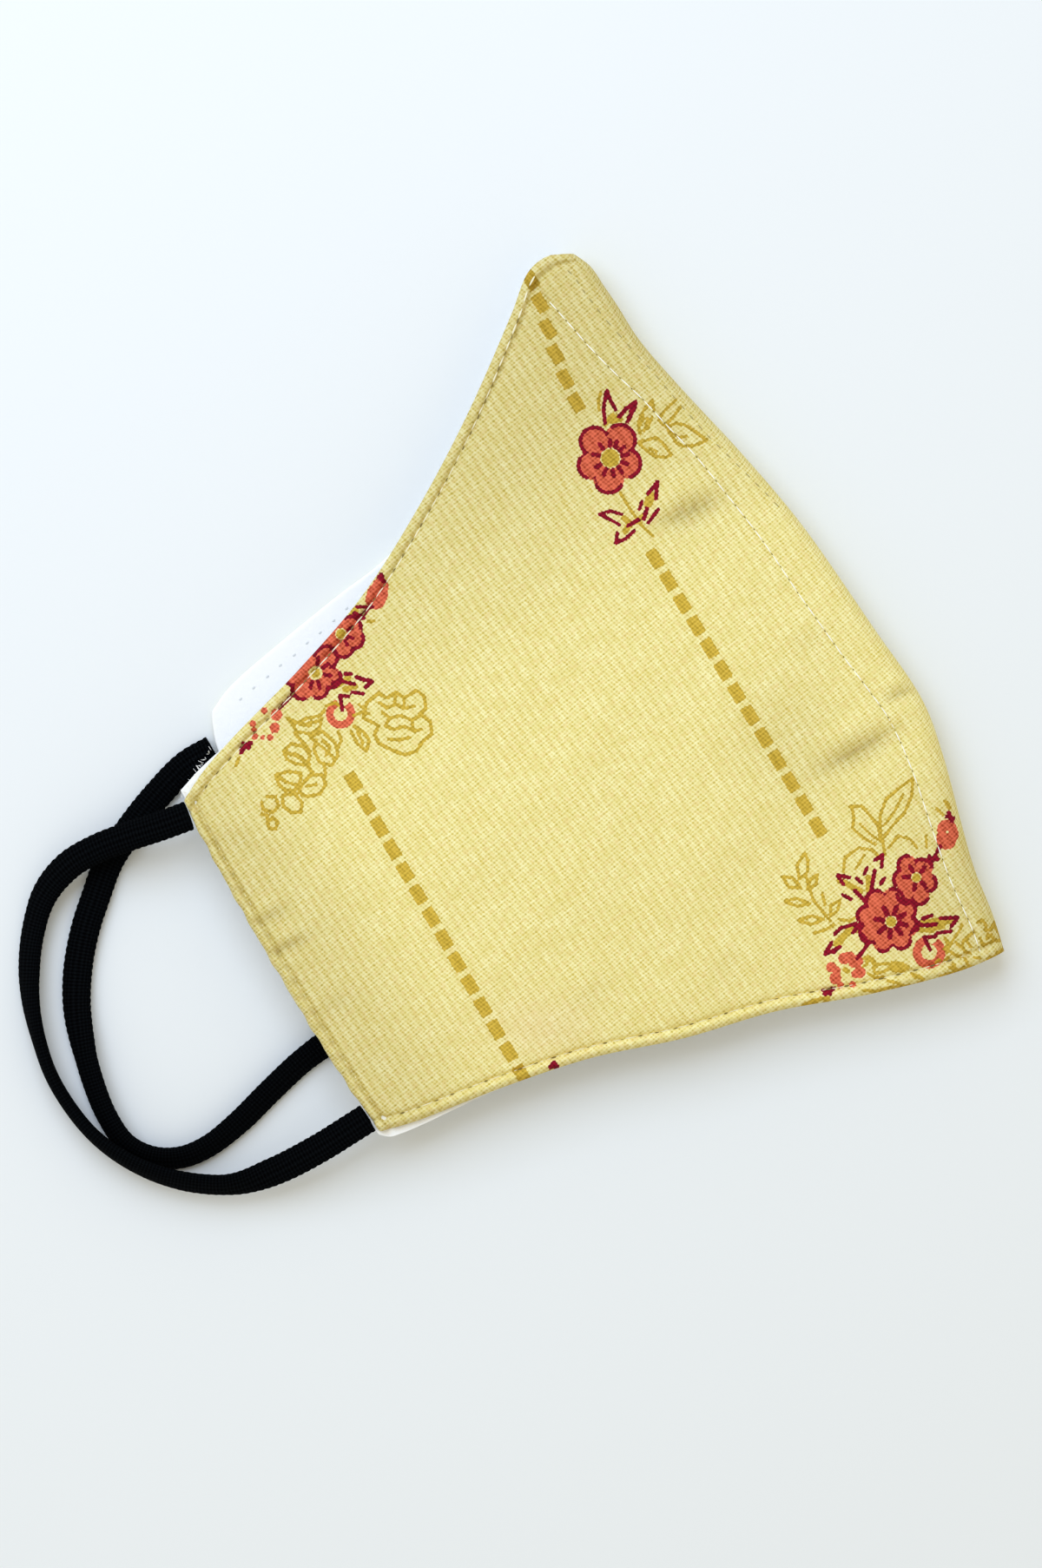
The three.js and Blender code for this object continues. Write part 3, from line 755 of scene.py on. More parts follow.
# Dark ticks round the flowers' eyes: half width and the lines
TICKS = [
    (2.2, ticks(703, 528, 13.5, 20.5, [92, 68, 40, 12, -20, -50, -80, -112, -148, 168, 128])),
    (2.7, ticks(1026, 1061, 9.5, 18, [118, 70, 30, -12, -50, -95, -140, 170])),
    (2.4, ticks(1055, 1010, 8.5, 14.5, [120, 50, 178, -45, -100])),
    (1.9, ticks(364, 775, 10, 18, [35, -10, -75, -110, 80])),
    (1.8, ticks(393, 730, 9, 15, [-20, -60, 30])),
]
# Mustard line drawing: half width in pixels and the points of the line
FINE = [
    (1.5, [(714, 568), (728, 591), (740, 607), (752, 618)]),
    (1.6, [(692, 452), (689, 462), (690, 473)]),
    (1.5, [(737, 500), (735, 486), (741, 473), (751, 461), (753, 473)]),
    (1.3, [(741, 498), (746, 482)]),
    (1.3, [(746, 494), (751, 480)]), (1.3, [(737, 490), (742, 480)]),
    (1.5, [(758, 483), (767, 471), (779, 460)]), (1.5, [(784, 468), (777, 478), (769, 487)]),
    (1.4, [(758, 483), (763, 489), (769, 492)]),
    (1.6, [(769, 492), (779, 487), (790, 490), (801, 497), (814, 507), (800, 513), (787, 514),
     (779, 510), (769, 495)]),
    (1.4, [(773, 498), (783, 504), (791, 502)]),
    (1.6, [(735, 509), (746, 507), (756, 504), (763, 510), (773, 524), (767, 527), (755, 526),
     (745, 520), (736, 511)]),
    (1.3, [(748, 516), (757, 521)]),
    (1.7, [(419, 827), (423, 809), (437, 798), (446, 804), (457, 797), (466, 804), (480, 795), (489, 802),
     (491, 816), (484, 822), (496, 831), (498, 845), (487, 854), (480, 865), (466, 869), (451, 863),
     (437, 856), (432, 845), (437, 836), (428, 831), (419, 827)]),
    (1.6, [(437, 809), (446, 815), (457, 811), (466, 816), (478, 813)]),
    (1.6, [(441, 820), (450, 827), (462, 824), (475, 829), (484, 825)]),
    (1.6, [(444, 836), (455, 840), (466, 836), (477, 842), (486, 840)]),
    (1.6, [(448, 851), (460, 852), (473, 849)]), (1.5, [(457, 797), (455, 809)]),
    (1.5, [(475, 829), (477, 842)]), (1.5, [(450, 827), (444, 836)]), (1.5, [(466, 804), (466, 816)]),
    (1.5, [(318, 892), (330, 900), (345, 905)]), (1.5, [(327, 865), (345, 872), (358, 880)]),
    (1.5, [(358, 849), (374, 862), (385, 872)]), (1.5, [(331, 827), (350, 834), (368, 830)]),
    (1.6, [(405, 842), (412, 856), (423, 865), (426, 852), (419, 842), (408, 836)]),
    (1.5, [(408, 824), (417, 820), (426, 822)]), (1.5, [(414, 811), (419, 815)]),
    (1.5, [(412, 842), (419, 856)]),
    (1.6, [(331, 827), (338, 834), (354, 827), (369, 824), (374, 818)]),
    (1.6, [(335, 829), (342, 842), (358, 845), (369, 838), (371, 827)]),
    (1.5, [(345, 834), (358, 836)]),
    (1.6, [(358, 849), (372, 842), (387, 856), (390, 870), (383, 881), (369, 878), (362, 863), (365, 852)]),
    (1.5, [(372, 852), (381, 860), (376, 870)]), (1.6, [(340, 845), (351, 856), (358, 865)]),
    (1.6, [(327, 865), (336, 856), (351, 860), (358, 870), (354, 881), (340, 879), (331, 874), (327, 865)]),
    (1.5, [(338, 867), (349, 872)]),
    (1.7, [(318, 892), (333, 888), (347, 890), (347, 899), (340, 910), (329, 910), (322, 903), (318, 892)]),
    (1.7, [(345, 912), (347, 906), (358, 892), (372, 892), (376, 903), (369, 914), (354, 917), (345, 912)]),
    (1.5, [(354, 905), (365, 903)]), (1.6, [(354, 881), (362, 890)]), (1.6, [(374, 881), (376, 892)]),
    (1.7, [(327, 915), (340, 914), (349, 924), (347, 935), (336, 935), (327, 928), (326, 917)]),
    (1.7, [(308, 917), (318, 917), (322, 928), (315, 935), (304, 932), (302, 924)]),
    (1.7, [(302, 937), (309, 939), (309, 946), (315, 941), (321, 946), (318, 954), (311, 954), (309, 946)]),
    (1.5, [(390, 842), (394, 852), (389, 863)]), (1.5, [(376, 813), (387, 809), (392, 813)]),
    (1.4, [(1108, 1064), (1106, 1070), (1101, 1077), (1097, 1083), (1093, 1090), (1090, 1097)]),
    (1.4, [(1122, 1073), (1116, 1077), (1110, 1082), (1108, 1090), (1112, 1096), (1118, 1097)]),
    (1.7, [(1101, 1085), (1106, 1090)]), (1.8, [(1094, 1095), (1101, 1100), (1107, 1101)]),
    (1.6, [(1114, 1084), (1118, 1090)]),
    (1.6, [(1126, 1062), (1132, 1059), (1136, 1065), (1135, 1071), (1142, 1070), (1147, 1062)]),
    (1.7, [(1144, 1065), (1149, 1070), (1154, 1077), (1154, 1083), (1147, 1083),
     (1142, 1078), (1138, 1076)]),
    (1.4, [(1129, 1080), (1132, 1088), (1138, 1086), (1144, 1084)]),
    (1.8, [(1142, 1076), (1137, 1080)]),
    (1.8, [(1098, 1110), (1101, 1116), (1105, 1118)]),
    (1.5, [(1111, 1103), (1116, 1113), (1118, 1112)]),
    (1.7, [(1147, 1101), (1149, 1097), (1154, 1095), (1159, 1091)]),
    (1.5, [(1137, 1104), (1142, 1102), (1148, 1101)]),
    (1.7, [(1083, 1124), (1092, 1121), (1098, 1120)]),
    (1.8, [(1092, 1102), (1088, 1107)]), (1.5, [(1122, 1102), (1128, 1103)]),
    (1.5, [(1152, 1097), (1149, 1102)]), (1.7, [(1088, 1080), (1092, 1086), (1088, 1092)]),
    (1.5, [(1005, 1114), (1011, 1110), (1023, 1109), (1029, 1112), (1018, 1118),
     (1009, 1121), (1005, 1114)]),
    (1.6, [(1027, 1108), (1039, 1109), (1046, 1114), (1039, 1118), (1029, 1117)]),
    (2.1, [(1039, 1112), (1044, 1114)]), (1.6, [(995, 1103), (1000, 1101), (998, 1110), (994, 1112)]),
    (1.5, [(1023, 1129), (1032, 1131), (1041, 1135), (1055, 1134), (1064, 1128), (1059, 1124),
     (1050, 1121), (1055, 1126)]),
    (1.5, [(995, 1140), (1009, 1141), (1023, 1137), (1041, 1135)]),
    (2.0, [(925, 1158), (933, 1155), (940, 1152)]), (1.5, [(949, 1154), (954, 1151)]),
    (2.0, [(1094, 1114), (1105, 1117), (1110, 1114)]), (1.6, [(1082, 1105), (1078, 1108)]),
    (1.6, [(1000, 1121), (1009, 1126), (1018, 1125)]),
    (1.5, [(1051, 896), (1037, 906), (1020, 920), (1013, 939), (1014, 962)]),
    (1.5, [(1051, 898), (1050, 916), (1041, 936), (1027, 951), (1016, 966)]),
    (1.3, [(1040, 914), (1030, 934), (1018, 950)]),
    (1.5, [(978, 928), (992, 928), (1000, 937), (1011, 951), (1014, 969)]),
    (1.5, [(980, 928), (983, 941), (981, 953), (993, 964), (1008, 972)]),
    (1.3, [(990, 948), (1001, 960), (1010, 966)]),
    (1.4, [(1016, 966), (1019, 985)]),
    (1.5, [(971, 1003), (972, 988), (988, 976), (1004, 978), (1012, 986)]),
    (1.3, [(985, 1000), (995, 984)]),
    (1.4, [(1023, 976), (1034, 962), (1048, 966), (1056, 976)]), (1.3, [(1066, 962), (1067, 975)]),
    (1.5, [(926, 982), (917, 996), (920, 1012), (929, 1004), (930, 990), (926, 982)]),
    (1.5, [(928, 1010), (932, 1024)]),
    (1.5, [(900, 1009), (908, 1021), (922, 1022), (912, 1010), (900, 1009)]),
    (1.5, [(941, 1006), (933, 1012), (929, 1024), (939, 1018), (941, 1006)]),
    (1.5, [(904, 1038), (918, 1043), (932, 1040), (918, 1034), (904, 1036)]),
    (1.5, [(932, 1024), (936, 1036), (946, 1048), (956, 1060)]),
    (1.5, [(967, 1036), (956, 1042), (956, 1054), (964, 1048), (967, 1036)]),
    (1.5, [(946, 1028), (950, 1042)]),
    (1.5, [(920, 1060), (934, 1064), (948, 1058), (934, 1054), (920, 1058)]),
    (1.5, [(937, 1074), (950, 1070), (960, 1064)]),
    (1.5, [(966, 1058), (978, 1060), (984, 1056)]),
    (1.6, [(1088, 922), (1094, 930)]), (1.4, [(1078, 930), (1086, 938)]),
    (1.6, [(412, 703), (404, 709)]), (1.6, [(424, 716), (432, 715)]), (1.6, [(276, 872), (272, 882)]),
]
# Mustard areas, as thick strokes of the same form
PATCHES = [
    (4.2, [(703, 484), (713, 482)]), (2.4, [(697, 489), (706, 478)]), (3.2, [(718, 597), (726, 603)]),
    (3.4, [(720, 612), (724, 606)]), (4.8, [(746, 580), (750, 572)]), (2.6, [(733, 602), (741, 594)]),
    (3.0, [(410, 790), (398, 794)]), (3.0, [(402, 781), (390, 789)]), (3.0, [(410, 702), (405, 708)]),
    (3.4, [(976, 1018), (990, 1026)]), (3.2, [(1000, 1010), (1000, 1024)]),
    (3.0, [(1068, 1070), (1086, 1066)]),
    (3.2, [(972, 1078), (964, 1088)]), (2.8, [(976, 1070), (984, 1066)]),
    (3.6, [(1028, 1114), (1040, 1112)]),
    (3.0, [(928, 1157), (940, 1152)]), (2.2, [(944, 1150), (954, 1148)]),
    (2.6, [(973, 1116), (976, 1118)]),
    (2.6, [(1004, 1104), (1008, 1112)]), (2.4, [(1090, 924), (1094, 930)]),
    (3.0, [(1062, 1061), (1080, 1060)]), (2.6, [(1084, 1062), (1096, 1060)]),
    (2.6, [(1058, 1070), (1074, 1071)]),
    (3.0, [(966, 1013), (984, 1022)]), (3.0, [(962, 1086), (974, 1074)]),
    (2.6, [(976, 1074), (988, 1069)]),
    (2.6, [(1148, 1064), (1152, 1072)]), (2.6, [(1134, 1110), (1142, 1106)]),
]
# Stitches that show through the far lining beside its upper edge, drawn as grey marks of painted shade
LINING_STITCHES = [
    (275, 804), (290, 791), (306, 778), (321, 765), (337, 753), (352, 739), (367, 727), (383, 713),
    (398, 699),
]
# Half the width and half the length of a dash, and half the width of the flowers' outlines
DASH_HALF = (7.3, 11.4)
OUTLINE_HALF = 2.4
OUTLINE_INSIDE = 1.0
# How far the ink runs into the threads, and the share of it for the pale mustard lines
INK_SPREAD = 0.55
MUSTARD_SPREAD = 0.9


def dash_row(first, step, count):
    return [(first[0] + step[0] * k, first[1] + step[1] * k) for k in range(count)]


DASH_ROWS = [
    [(611, 322), (622, 349), (631, 379), (640, 408), (651, 437), (664, 464)],
    dash_row((754, 644), (15.58, 25.67), 13),
    dash_row((408, 900), (14.85, 25.85), 14),
]
# Further than any print reaches
FAR_AWAY = 1e3
# How close in mm to a print's edge a cell is halved, in the first and the second round
REFINE_WITHIN = (1.25, 0.42)


def to_stroke(px, py, points, half):
    nearest = np.full(px.shape, FAR_AWAY)
    for (ax, ay), (bx, by) in zip(points[:-1], points[1:]):
        dx, dy = bx - ax, by - ay
        share = np.clip(((px - ax) * dx + (py - ay) * dy) / max(dx * dx + dy * dy, 1e-6), 0, 1)
        nearest = np.minimum(nearest, np.hypot(px - ax - dx * share, py - ay - dy * share))
    return nearest - half


def to_discs(px, py, discs):
    nearest = np.full(px.shape, FAR_AWAY)
    for cx, cy, radius in discs:
        nearest = np.minimum(nearest, np.hypot(px - cx, py - cy) - radius)
    return nearest


def to_dash(px, py, cx, cy):
    across = (px - cx) * math.cos(PHOTO_TURN) - (py - cy) * math.sin(PHOTO_TURN)
    along = (px - cx) * math.sin(PHOTO_TURN) + (py - cy) * math.cos(PHOTO_TURN)
    return np.maximum(np.abs(across) - DASH_HALF[0], np.abs(along) - DASH_HALF[1])


def to_coral(px, py, petals):
    """Distance to the flowers' petals and rings, with bare rings round the flowers' eyes."""
    coral = np.full(px.shape, FAR_AWAY)
    for petal in petals:
        coral = np.minimum(coral, petal)
    for ring in RINGS:
        away = np.hypot(px - ring["centre"][0], py - ring["centre"][1])
        band = np.maximum(away - ring["outer"], ring["inner"] - away)
        coral = np.minimum(coral, np.maximum(band, -to_discs(px, py, [ring["open"]])))
    for eye in EYES:
        coral = np.maximum(coral, eye["bare"] - np.hypot(px - eye["at"][0], py - eye["at"][1]))
    return coral


def to_dark(px, py, petals):
    """Distance to the dark outlines, strokes and ticks."""
    dark = np.full(px.shape, FAR_AWAY)
    for flower in OUTLINED:
        line = np.abs(petals[flower["petals"]] + OUTLINE_INSIDE) - OUTLINE_HALF
        dark = np.minimum(dark, np.maximum(line, -to_discs(px, py, flower["gaps"])))
    for half, line in DARK:
        dark = np.minimum(dark, to_stroke(px, py, line, half + INK_SPREAD))
    for half, lines in TICKS:
        for line in lines:
            dark = np.minimum(dark, to_stroke(px, py, line, half + INK_SPREAD))
    return dark


def to_mustard(px, py):
    """Distance to the flowers' mustard eyes, the mustard drawing and the dashes."""
    mustard = np.full(px.shape, FAR_AWAY)
    for eye in EYES:
        if eye["centre"] > 0:
            mustard = np.minimum(mustard, np.hypot(px - eye["at"][0], py - eye["at"][1]) - eye["centre"])
    for half, line in [*FINE, *PATCHES]:
        mustard = np.minimum(mustard, to_stroke(px, py, line, half + MUSTARD_SPREAD * INK_SPREAD))
    for row in DASH_ROWS:
        for cx, cy in row:
            mustard = np.minimum(mustard, to_dash(px, py, cx, cy))
    return mustard


def print_fields(x, y):
    """Distances in mm by which each place of the cloth is outside the coral, dark and mustard print."""
    px, py = plan_to_photo(x, y)
    petals = [to_discs(px, py, discs) for discs in PETALS]
    return to_coral(px, py, petals) * PIXEL, to_dark(px, py, petals) * PIXEL, to_mustard(px, py) * PIXEL


def near_print_edge(x, y, level):
    nearest = np.min(np.abs(print_fields(x, y)), axis=0)
    return nearest < REFINE_WITHIN[level]


# Painted shade where the cloth curves away from the light, in plan mm: how much, and from where to where it
# comes in;
# round the chin's corner that is a distance from it, and at the lower hem's rim it fades out within one
NOSE_SHADE = (1.0, 46, 100)
EAR_SHADE = (0.75, 26, 2)
CHIN_SHADE = (0.8, 36, 8)
CHIN_CORNER = (118, -24)
RIM_SHADE = (0.9, 1.2)
# How much painted shade each mm of a crease's depth adds, up to a depth
CREASE_SHADE = 0.6
CREASE_SHADE_DEPTH = 1.4
# Painted shade round the dent beside the chin, as a place and its reach in photograph pixels
DENT_SHADE = 0.4
DENT_AT = (915.0, 856.0)
DENT_REACH = 62.0
# A faint pink stain beside the dashes at the lower hem, as a place and its reach in photograph pixels
BLUSH_SHARE = 0.24
BLUSH_AT = (622.0, 1182.0)
BLUSH_REACH = (58.0, 34.0)


def painted_shade(x, y):
    """How much painted shade darkens the cloth where it slopes away from the light, at the nose, the ear
    edge, the chin and the lower rim, and in the creases.
    """
    nose = NOSE_SHADE[0] * soft_step(y, NOSE_SHADE[1], NOSE_SHADE[2])
    ear = EAR_SHADE[0] * soft_step(-x, -EAR_SHADE[1], -EAR_SHADE[2])
    from_chin = np.hypot(x - CHIN_CORNER[0], y - CHIN_CORNER[1])
    chin = CHIN_SHADE[0] * soft_step(-from_chin, -CHIN_SHADE[1], -CHIN_SHADE[2])
    # painted shade in the creases' valleys and round the dent
    crease_shade = CREASE_SHADE * np.clip(creases_at(x, y), 0, CREASE_SHADE_DEPTH)
    edge = np.interp(x, *NEAR.bottom.points.T)
    # painted shade on the lower rim, which faces down
    rim = RIM_SHADE[0] * np.clip(1 - (y - edge) / RIM_SHADE[1], 0, 1)
    px, py = plan_to_photo(x, y)
    crease_shade = crease_shade + DENT_SHADE * bump(np.hypot(px - DENT_AT[0], py - DENT_AT[1]) / DENT_REACH)
    return np.clip(np.maximum(np.maximum(nose, ear), chin) + crease_shade + rim, 0, 1)


def blush(x, y):
    """How far the washed-out pink stain at the lower hem shows."""
    px, py = plan_to_photo(x, y)
    away = np.hypot((px - BLUSH_AT[0]) / BLUSH_REACH[0], (py - BLUSH_AT[1]) / BLUSH_REACH[1])
    return BLUSH_SHARE * bump(away)


def store(piece, name, values):
    piece.data.attributes.new(name, "FLOAT", "POINT").data.foreach_set("value", values)


def add_print(piece, x, y, outside):
    """Writes how far inside each print a point of the outer face is, counted up from 1 mm outside it."""
    points = np.nonzero(outside)[0]
    for name, distance in zip(("coral", "dark", "mustard"), print_fields(x[points], y[points])):
        values = np.zeros(len(piece.data.vertices))
        values[points] = np.clip(1 - distance, 0, 2)
        store(piece, "print_" + name, values)
    # painted shade, stored for the cotton's shader
    store(piece, "painted_shade", painted_shade(x, y))
    store(piece, "blush", blush(x, y))


# Materials

# Sockets of the mix node when it mixes colours
MIX_SHARE = 0
MIX_FIRST = 6
MIX_SECOND = 7
MIX_RESULT = 2


def color(code):
    """The linear values of a colour given as sRGB hex."""
    parts = [int(code[k:k + 2], 16) / 255 for k in (0, 2, 4)]
    return (*(c / 12.92 if c <= 0.04045 else ((c + 0.055) / 1.055) ** 2.4 for c in parts), 1.0)


def node(tree, kind, values, output=0, **settings):
    """Adds a node and gives one of its outputs; a value is a number, a colour or another node's output."""
    made = tree.nodes.new("ShaderNode" + kind)
    for name, setting in settings.items():
        setattr(made, name, setting)
    for key, value in values.items():
        if isinstance(value, bpy.types.NodeSocket):
            tree.links.new(value, made.inputs[key])
        else:
            made.inputs[key].default_value = value
    return made.outputs[output]


def new_material(name, roughness, specular):
    """A material with its node tree and the inputs of its surface."""
    material = bpy.data.materials.new(name)
    material.use_nodes = True
    surface = material.node_tree.nodes["Principled BSDF"].inputs
    surface["Roughness"].default_value = roughness
    surface["Specular IOR Level"].default_value = specular
    return material, material.node_tree, surface


# Single threads, about 0.3 mm apart, are too fine to show, so the figure that they make at the picture's
# size is drawn: waves that repeat every 0.58 to 1.6 mm. Each is given as periods per mm across and
# along the cloth, how strongly it shows and how much more it shows where painted shade darkens the cloth.
WEAVE = [
    (0.625, 0.0, 0.11, 0.08),
    (0.0, 1.136, 0.09, 0.04),
    (1.5625, 0.568, 0.21, 0.0),
    (0.3125, -1.704, 0.24, 0.0),
]
# How far the weave wanders from straight, in mm, and how often per mm it does
WEAVE_WANDER = 0.3
WEAVE_WANDER_PACE = 0.6
# Unevenness of the cotton: periods per mm across and along the cloth, and the noise's detail
COTTON_NOISES = {
    "fluff": (2.6, 2.6, 2.0),
    "warp_slub": (1.9, 0.24, 3.0),
    "weft_slub": (0.26, 1.9, 3.0),
    "warm": (0.9, 0.9, 2.0),
    "hue": (0.36, 0.36, 2.0),
    "mottle": (0.17, 0.17, 4.0),
}
# How much of each unevenness turns cream threads to mustard ones, and how much turns on average
THREAD_MIX = {"warp_slub": 0.84, "weft_slub": 0.64, "fluff": 0.9, "mottle": 0.36}
THREAD_MEAN = 0.42
# The cloth's colours: its cream threads, and what is mixed in: the mustard threads, greener and
# warmer patches, the pink stain and the painted shade between threads; the last one is the painted shade's
# tint
COTTON = {
    "cream": "fff8bc", "mustard": "dfc65d", "greener": "e9da84", "warmer": "efd48c",
    "stain": "efcfae", "between": "a39647", "painted_shading": "e4e1df",
}
# The prints' inks where the threads are cream and where they are mustard, and how fully each covers
INKS = [
    ("print_coral", 0.96, "fa7356", "a83422"),
    ("print_mustard", 0.92, "dfb938", "a98a1e"),
    ("print_dark", 1.0, "a2152f", "680c1d"),
]
# How far in mm fluff and weave move the edge of the ink, and where the ink starts and is full
INK_FRAY = 0.32
INK_STEP = 0.13
INK_EDGE = (0.95, 1.06)


def cotton_noises(tree, place):
    """The cotton's unevennesses, by name."""
    noises = {}
    for name, (across, along, detail) in COTTON_NOISES.items():
        stretched = node(tree, "Mapping", {"Vector": place, "Scale": (across, along, 1.0)})
        noises[name] = node(
            tree, "TexNoise", {"Vector": stretched, "Scale": 1.0, "Detail": detail, "Roughness": 0.6}
        )
    return noises


def cotton_weave(tree, place, painted_shading):
    """The weave's waves added up: high between the threads and low on top of them."""
    wander = node(tree, "TexNoise", {"Vector": place, "Scale": WEAVE_WANDER_PACE, "Detail": 2.0}, "Color")
    bent = node(
        tree, "VectorMath", {0: wander, 1: (WEAVE_WANDER, WEAVE_WANDER, 0.0), 2: place},
        operation="MULTIPLY_ADD",
    )
    weave = 0.0
    for across, along, shown, more in WEAVE:
        way = (2 * math.pi * across, 2 * math.pi * along, 0.0)
        turn = node(tree, "VectorMath", {0: bent, 1: way}, "Value", operation="DOT_PRODUCT")
        wave = node(tree, "Math", {0: turn}, operation="COSINE")
        # The weave shows more where painted shade darkens the cloth
        strength = node(tree, "Math", {0: painted_shading, 1: more, 2: shown}, operation="MULTIPLY_ADD")
        weave = node(tree, "Math", {0: wave, 1: strength, 2: weave}, operation="MULTIPLY_ADD")
    return weave


def mustard_threads(tree, weave, noises):
    """How mustard the threads are, from 0 for cream."""
    start = THREAD_MEAN - sum(THREAD_MIX.values()) / 2
    share = node(tree, "Math", {0: weave, 1: start}, operation="ADD")
    for name, amount in THREAD_MIX.items():
        share = node(tree, "Math", {0: noises[name], 1: amount, 2: share}, operation="MULTIPLY_ADD")
    return node(tree, "Clamp", {"Value": share})


def cotton_inks(tree, weave, noises, mustard):
    """How fully each ink covers, with its colour on the threads below it."""
    fray = node(tree, "Math", {0: noises["fluff"], 1: INK_FRAY, 2: -INK_FRAY / 2}, operation="MULTIPLY_ADD")
    fray = node(tree, "Math", {0: weave, 1: INK_STEP, 2: fray}, operation="MULTIPLY_ADD")
    layers = []
    for name, strength, on_cream, on_mustard in INKS:
        inside = node(tree, "Attribute", {}, "Fac", attribute_name=name)
        inside = node(tree, "Math", {0: inside, 1: fray}, operation="ADD")
        cover = node(
            tree, "MapRange",
            {"Value": inside, "From Min": INK_EDGE[0], "From Max": INK_EDGE[1], "To Max": strength},
            interpolation_type="SMOOTHSTEP",
        )
        ink = node(
            tree, "Mix", {MIX_SHARE: mustard, MIX_FIRST: color(on_cream), MIX_SECOND: color(on_mustard)},
            MIX_RESULT, data_type="RGBA",
        )
        layers.append((cover, ink))
    return layers


def printed_cotton():
    # dobby cotton of cream and mustard threads: matt, with a fine slanting figure that breaks the ink up
    material, tree, surface = new_material("printed_cotton", 0.9, 0.12)
    place = node(tree, "UVMap", {}, uv_map="cloth")
    # How much painted shade darkens the cloth here
    painted_shading = node(tree, "Attribute", {}, "Fac", attribute_name="painted_shade")
    stain = node(tree, "Attribute", {}, "Fac", attribute_name="blush")
    noises = cotton_noises(tree, place)
    weave = cotton_weave(tree, place, painted_shading)
    mustard = mustard_threads(tree, weave, noises)
    # Painted shade between the threads, where the weave and fluff peak
    peaks = node(tree, "Math", {0: noises["fluff"], 1: 0.8, 2: weave}, operation="MULTIPLY_ADD")
    between = node(tree, "MapRange", {"Value": peaks, "From Min": 0.62, "From Max": 1.08, "To Max": 0.5})
    greener = node(
        tree, "MapRange", {"Value": noises["hue"], "From Min": 0.40, "From Max": 0.66, "To Max": 0.45}
    )
    warmer = node(
        tree, "MapRange", {"Value": noises["warm"], "From Min": 0.50, "From Max": 0.68, "To Max": 0.5}
    )
    layers = [
        (mustard, color(COTTON["mustard"])),
        (greener, color(COTTON["greener"])),
        (warmer, color(COTTON["warmer"])),
        (stain, color(COTTON["stain"])),
        (between, color(COTTON["between"])),
        *cotton_inks(tree, weave, noises, mustard),
    ]
    shade = color(COTTON["cream"])
    for cover, layer in layers:
        shade = node(
            tree, "Mix", {MIX_SHARE: cover, MIX_FIRST: shade, MIX_SECOND: layer},
            MIX_RESULT, data_type="RGBA",
        )
    # Painted shade: the cloth is darkened towards a grey tint where it curves away from the light and in
    # its creases
    shade = node(
        tree, "Mix", {MIX_SHARE: painted_shading, MIX_FIRST: shade, MIX_SECOND: color(COTTON["painted_shading"])},
        MIX_RESULT, data_type="RGBA", blend_type="MULTIPLY",
    )
    tree.links.new(shade, surface["Base Color"])
    height = node(tree, "Math", {0: weave, 1: -1.0}, operation="MULTIPLY")
    relief = node(tree, "Bump", {"Strength": 0.5, "Distance": 0.00018, "Height": height})
    tree.links.new(relief, surface["Normal"])
    return material


def white_flannel():
    # brushed cotton flannel: pure white, softened at its edges by the short nap
    material, tree, surface = new_material("white_flannel", 0.95, 0.2)
    surface["Sheen Weight"].default_value = 0.25
    place = node(tree, "UVMap", {}, uv_map="cloth")
    nap = node(tree, "TexNoise", {"Vector": place, "Scale": 1.4, "Detail": 5.0, "Roughness": 0.7})
    shade = node(
        tree, "Mix", {MIX_SHARE: nap, MIX_FIRST: color("ffffff"), MIX_SECOND: color("fbfcfd")},
        MIX_RESULT, data_type="RGBA",
    )
    tree.links.new(shade, surface["Base Color"])
    relief = node(tree, "Bump", {"Strength": 0.5, "Distance": 0.0002, "Height": nap})
    tree.links.new(relief, surface["Normal"])
    return material


# Pitch in mm of the elastic's wales across its width and of its courses along it, a little coarser
# than the real ones so that they show, and how strongly each shows
WALE_PITCH = 0.75
COURSE_PITCH = 0.62
WALES_SHOWN = 0.2
COURSES_SHOWN = 0.25


def black_elastic():
    # knitted elastic, black polyester over rubber: dull black, with fine ribs that barely catch the light
    material, tree, surface = new_material("black_elastic", 0.95, 0.02)
    place = node(tree, "UVMap", {}, uv_map="cloth")
    knit = node(tree, "TexNoise", {"Vector": place, "Scale": 3.0, "Detail": 3.0, "Roughness": 0.7})
    wales = (2 * math.pi / WALE_PITCH, 0.0, 0.0)
    courses = (0.0, 2 * math.pi / COURSE_PITCH, 0.0)
    for way, shown in ((wales, WALES_SHOWN), (courses, COURSES_SHOWN)):
        turn = node(tree, "VectorMath", {0: place, 1: way}, "Value", operation="DOT_PRODUCT")
        wave = node(tree, "Math", {0: turn}, operation="SINE")
        knit = node(tree, "Math", {0: wave, 1: shown, 2: knit}, operation="MULTIPLY_ADD")
    share = node(tree, "MapRange", {"Value": knit, "From Min": 0.2, "From Max": 0.95})
    shade = node(
        tree, "Mix", {MIX_SHARE: share, MIX_FIRST: color("010102"), MIX_SECOND: color("0c0f12")},
        MIX_RESULT, data_type="RGBA",
    )
    tree.links.new(shade, surface["Base Color"])
    relief = node(tree, "Bump", {"Strength": 0.8, "Distance": 0.00025, "Height": knit})
    tree.links.new(relief, surface["Normal"])
    return material


def plain_material(name, code, roughness):
    """An even material: sewing thread, the shade in needle holes or the table."""
    material, _, surface = new_material(name, roughness, 0.5)
    surface["Base Color"].default_value = color(code)
    return material


# Stitches, needle holes and fibres

# Width and thickness of each kind of thread, and how far it is lifted off the cloth, in mm
HEM_THREAD = (0.36, 0.34, 0.06)
SEAM_THREAD = (0.25, 0.24, 0.03)
INNER_THREAD = (0.22, 0.14, 0.0)
LINING_THREAD = (0.45, 0.16, 0.0)
FIBRE = (0.07, 0.07, 0.0)
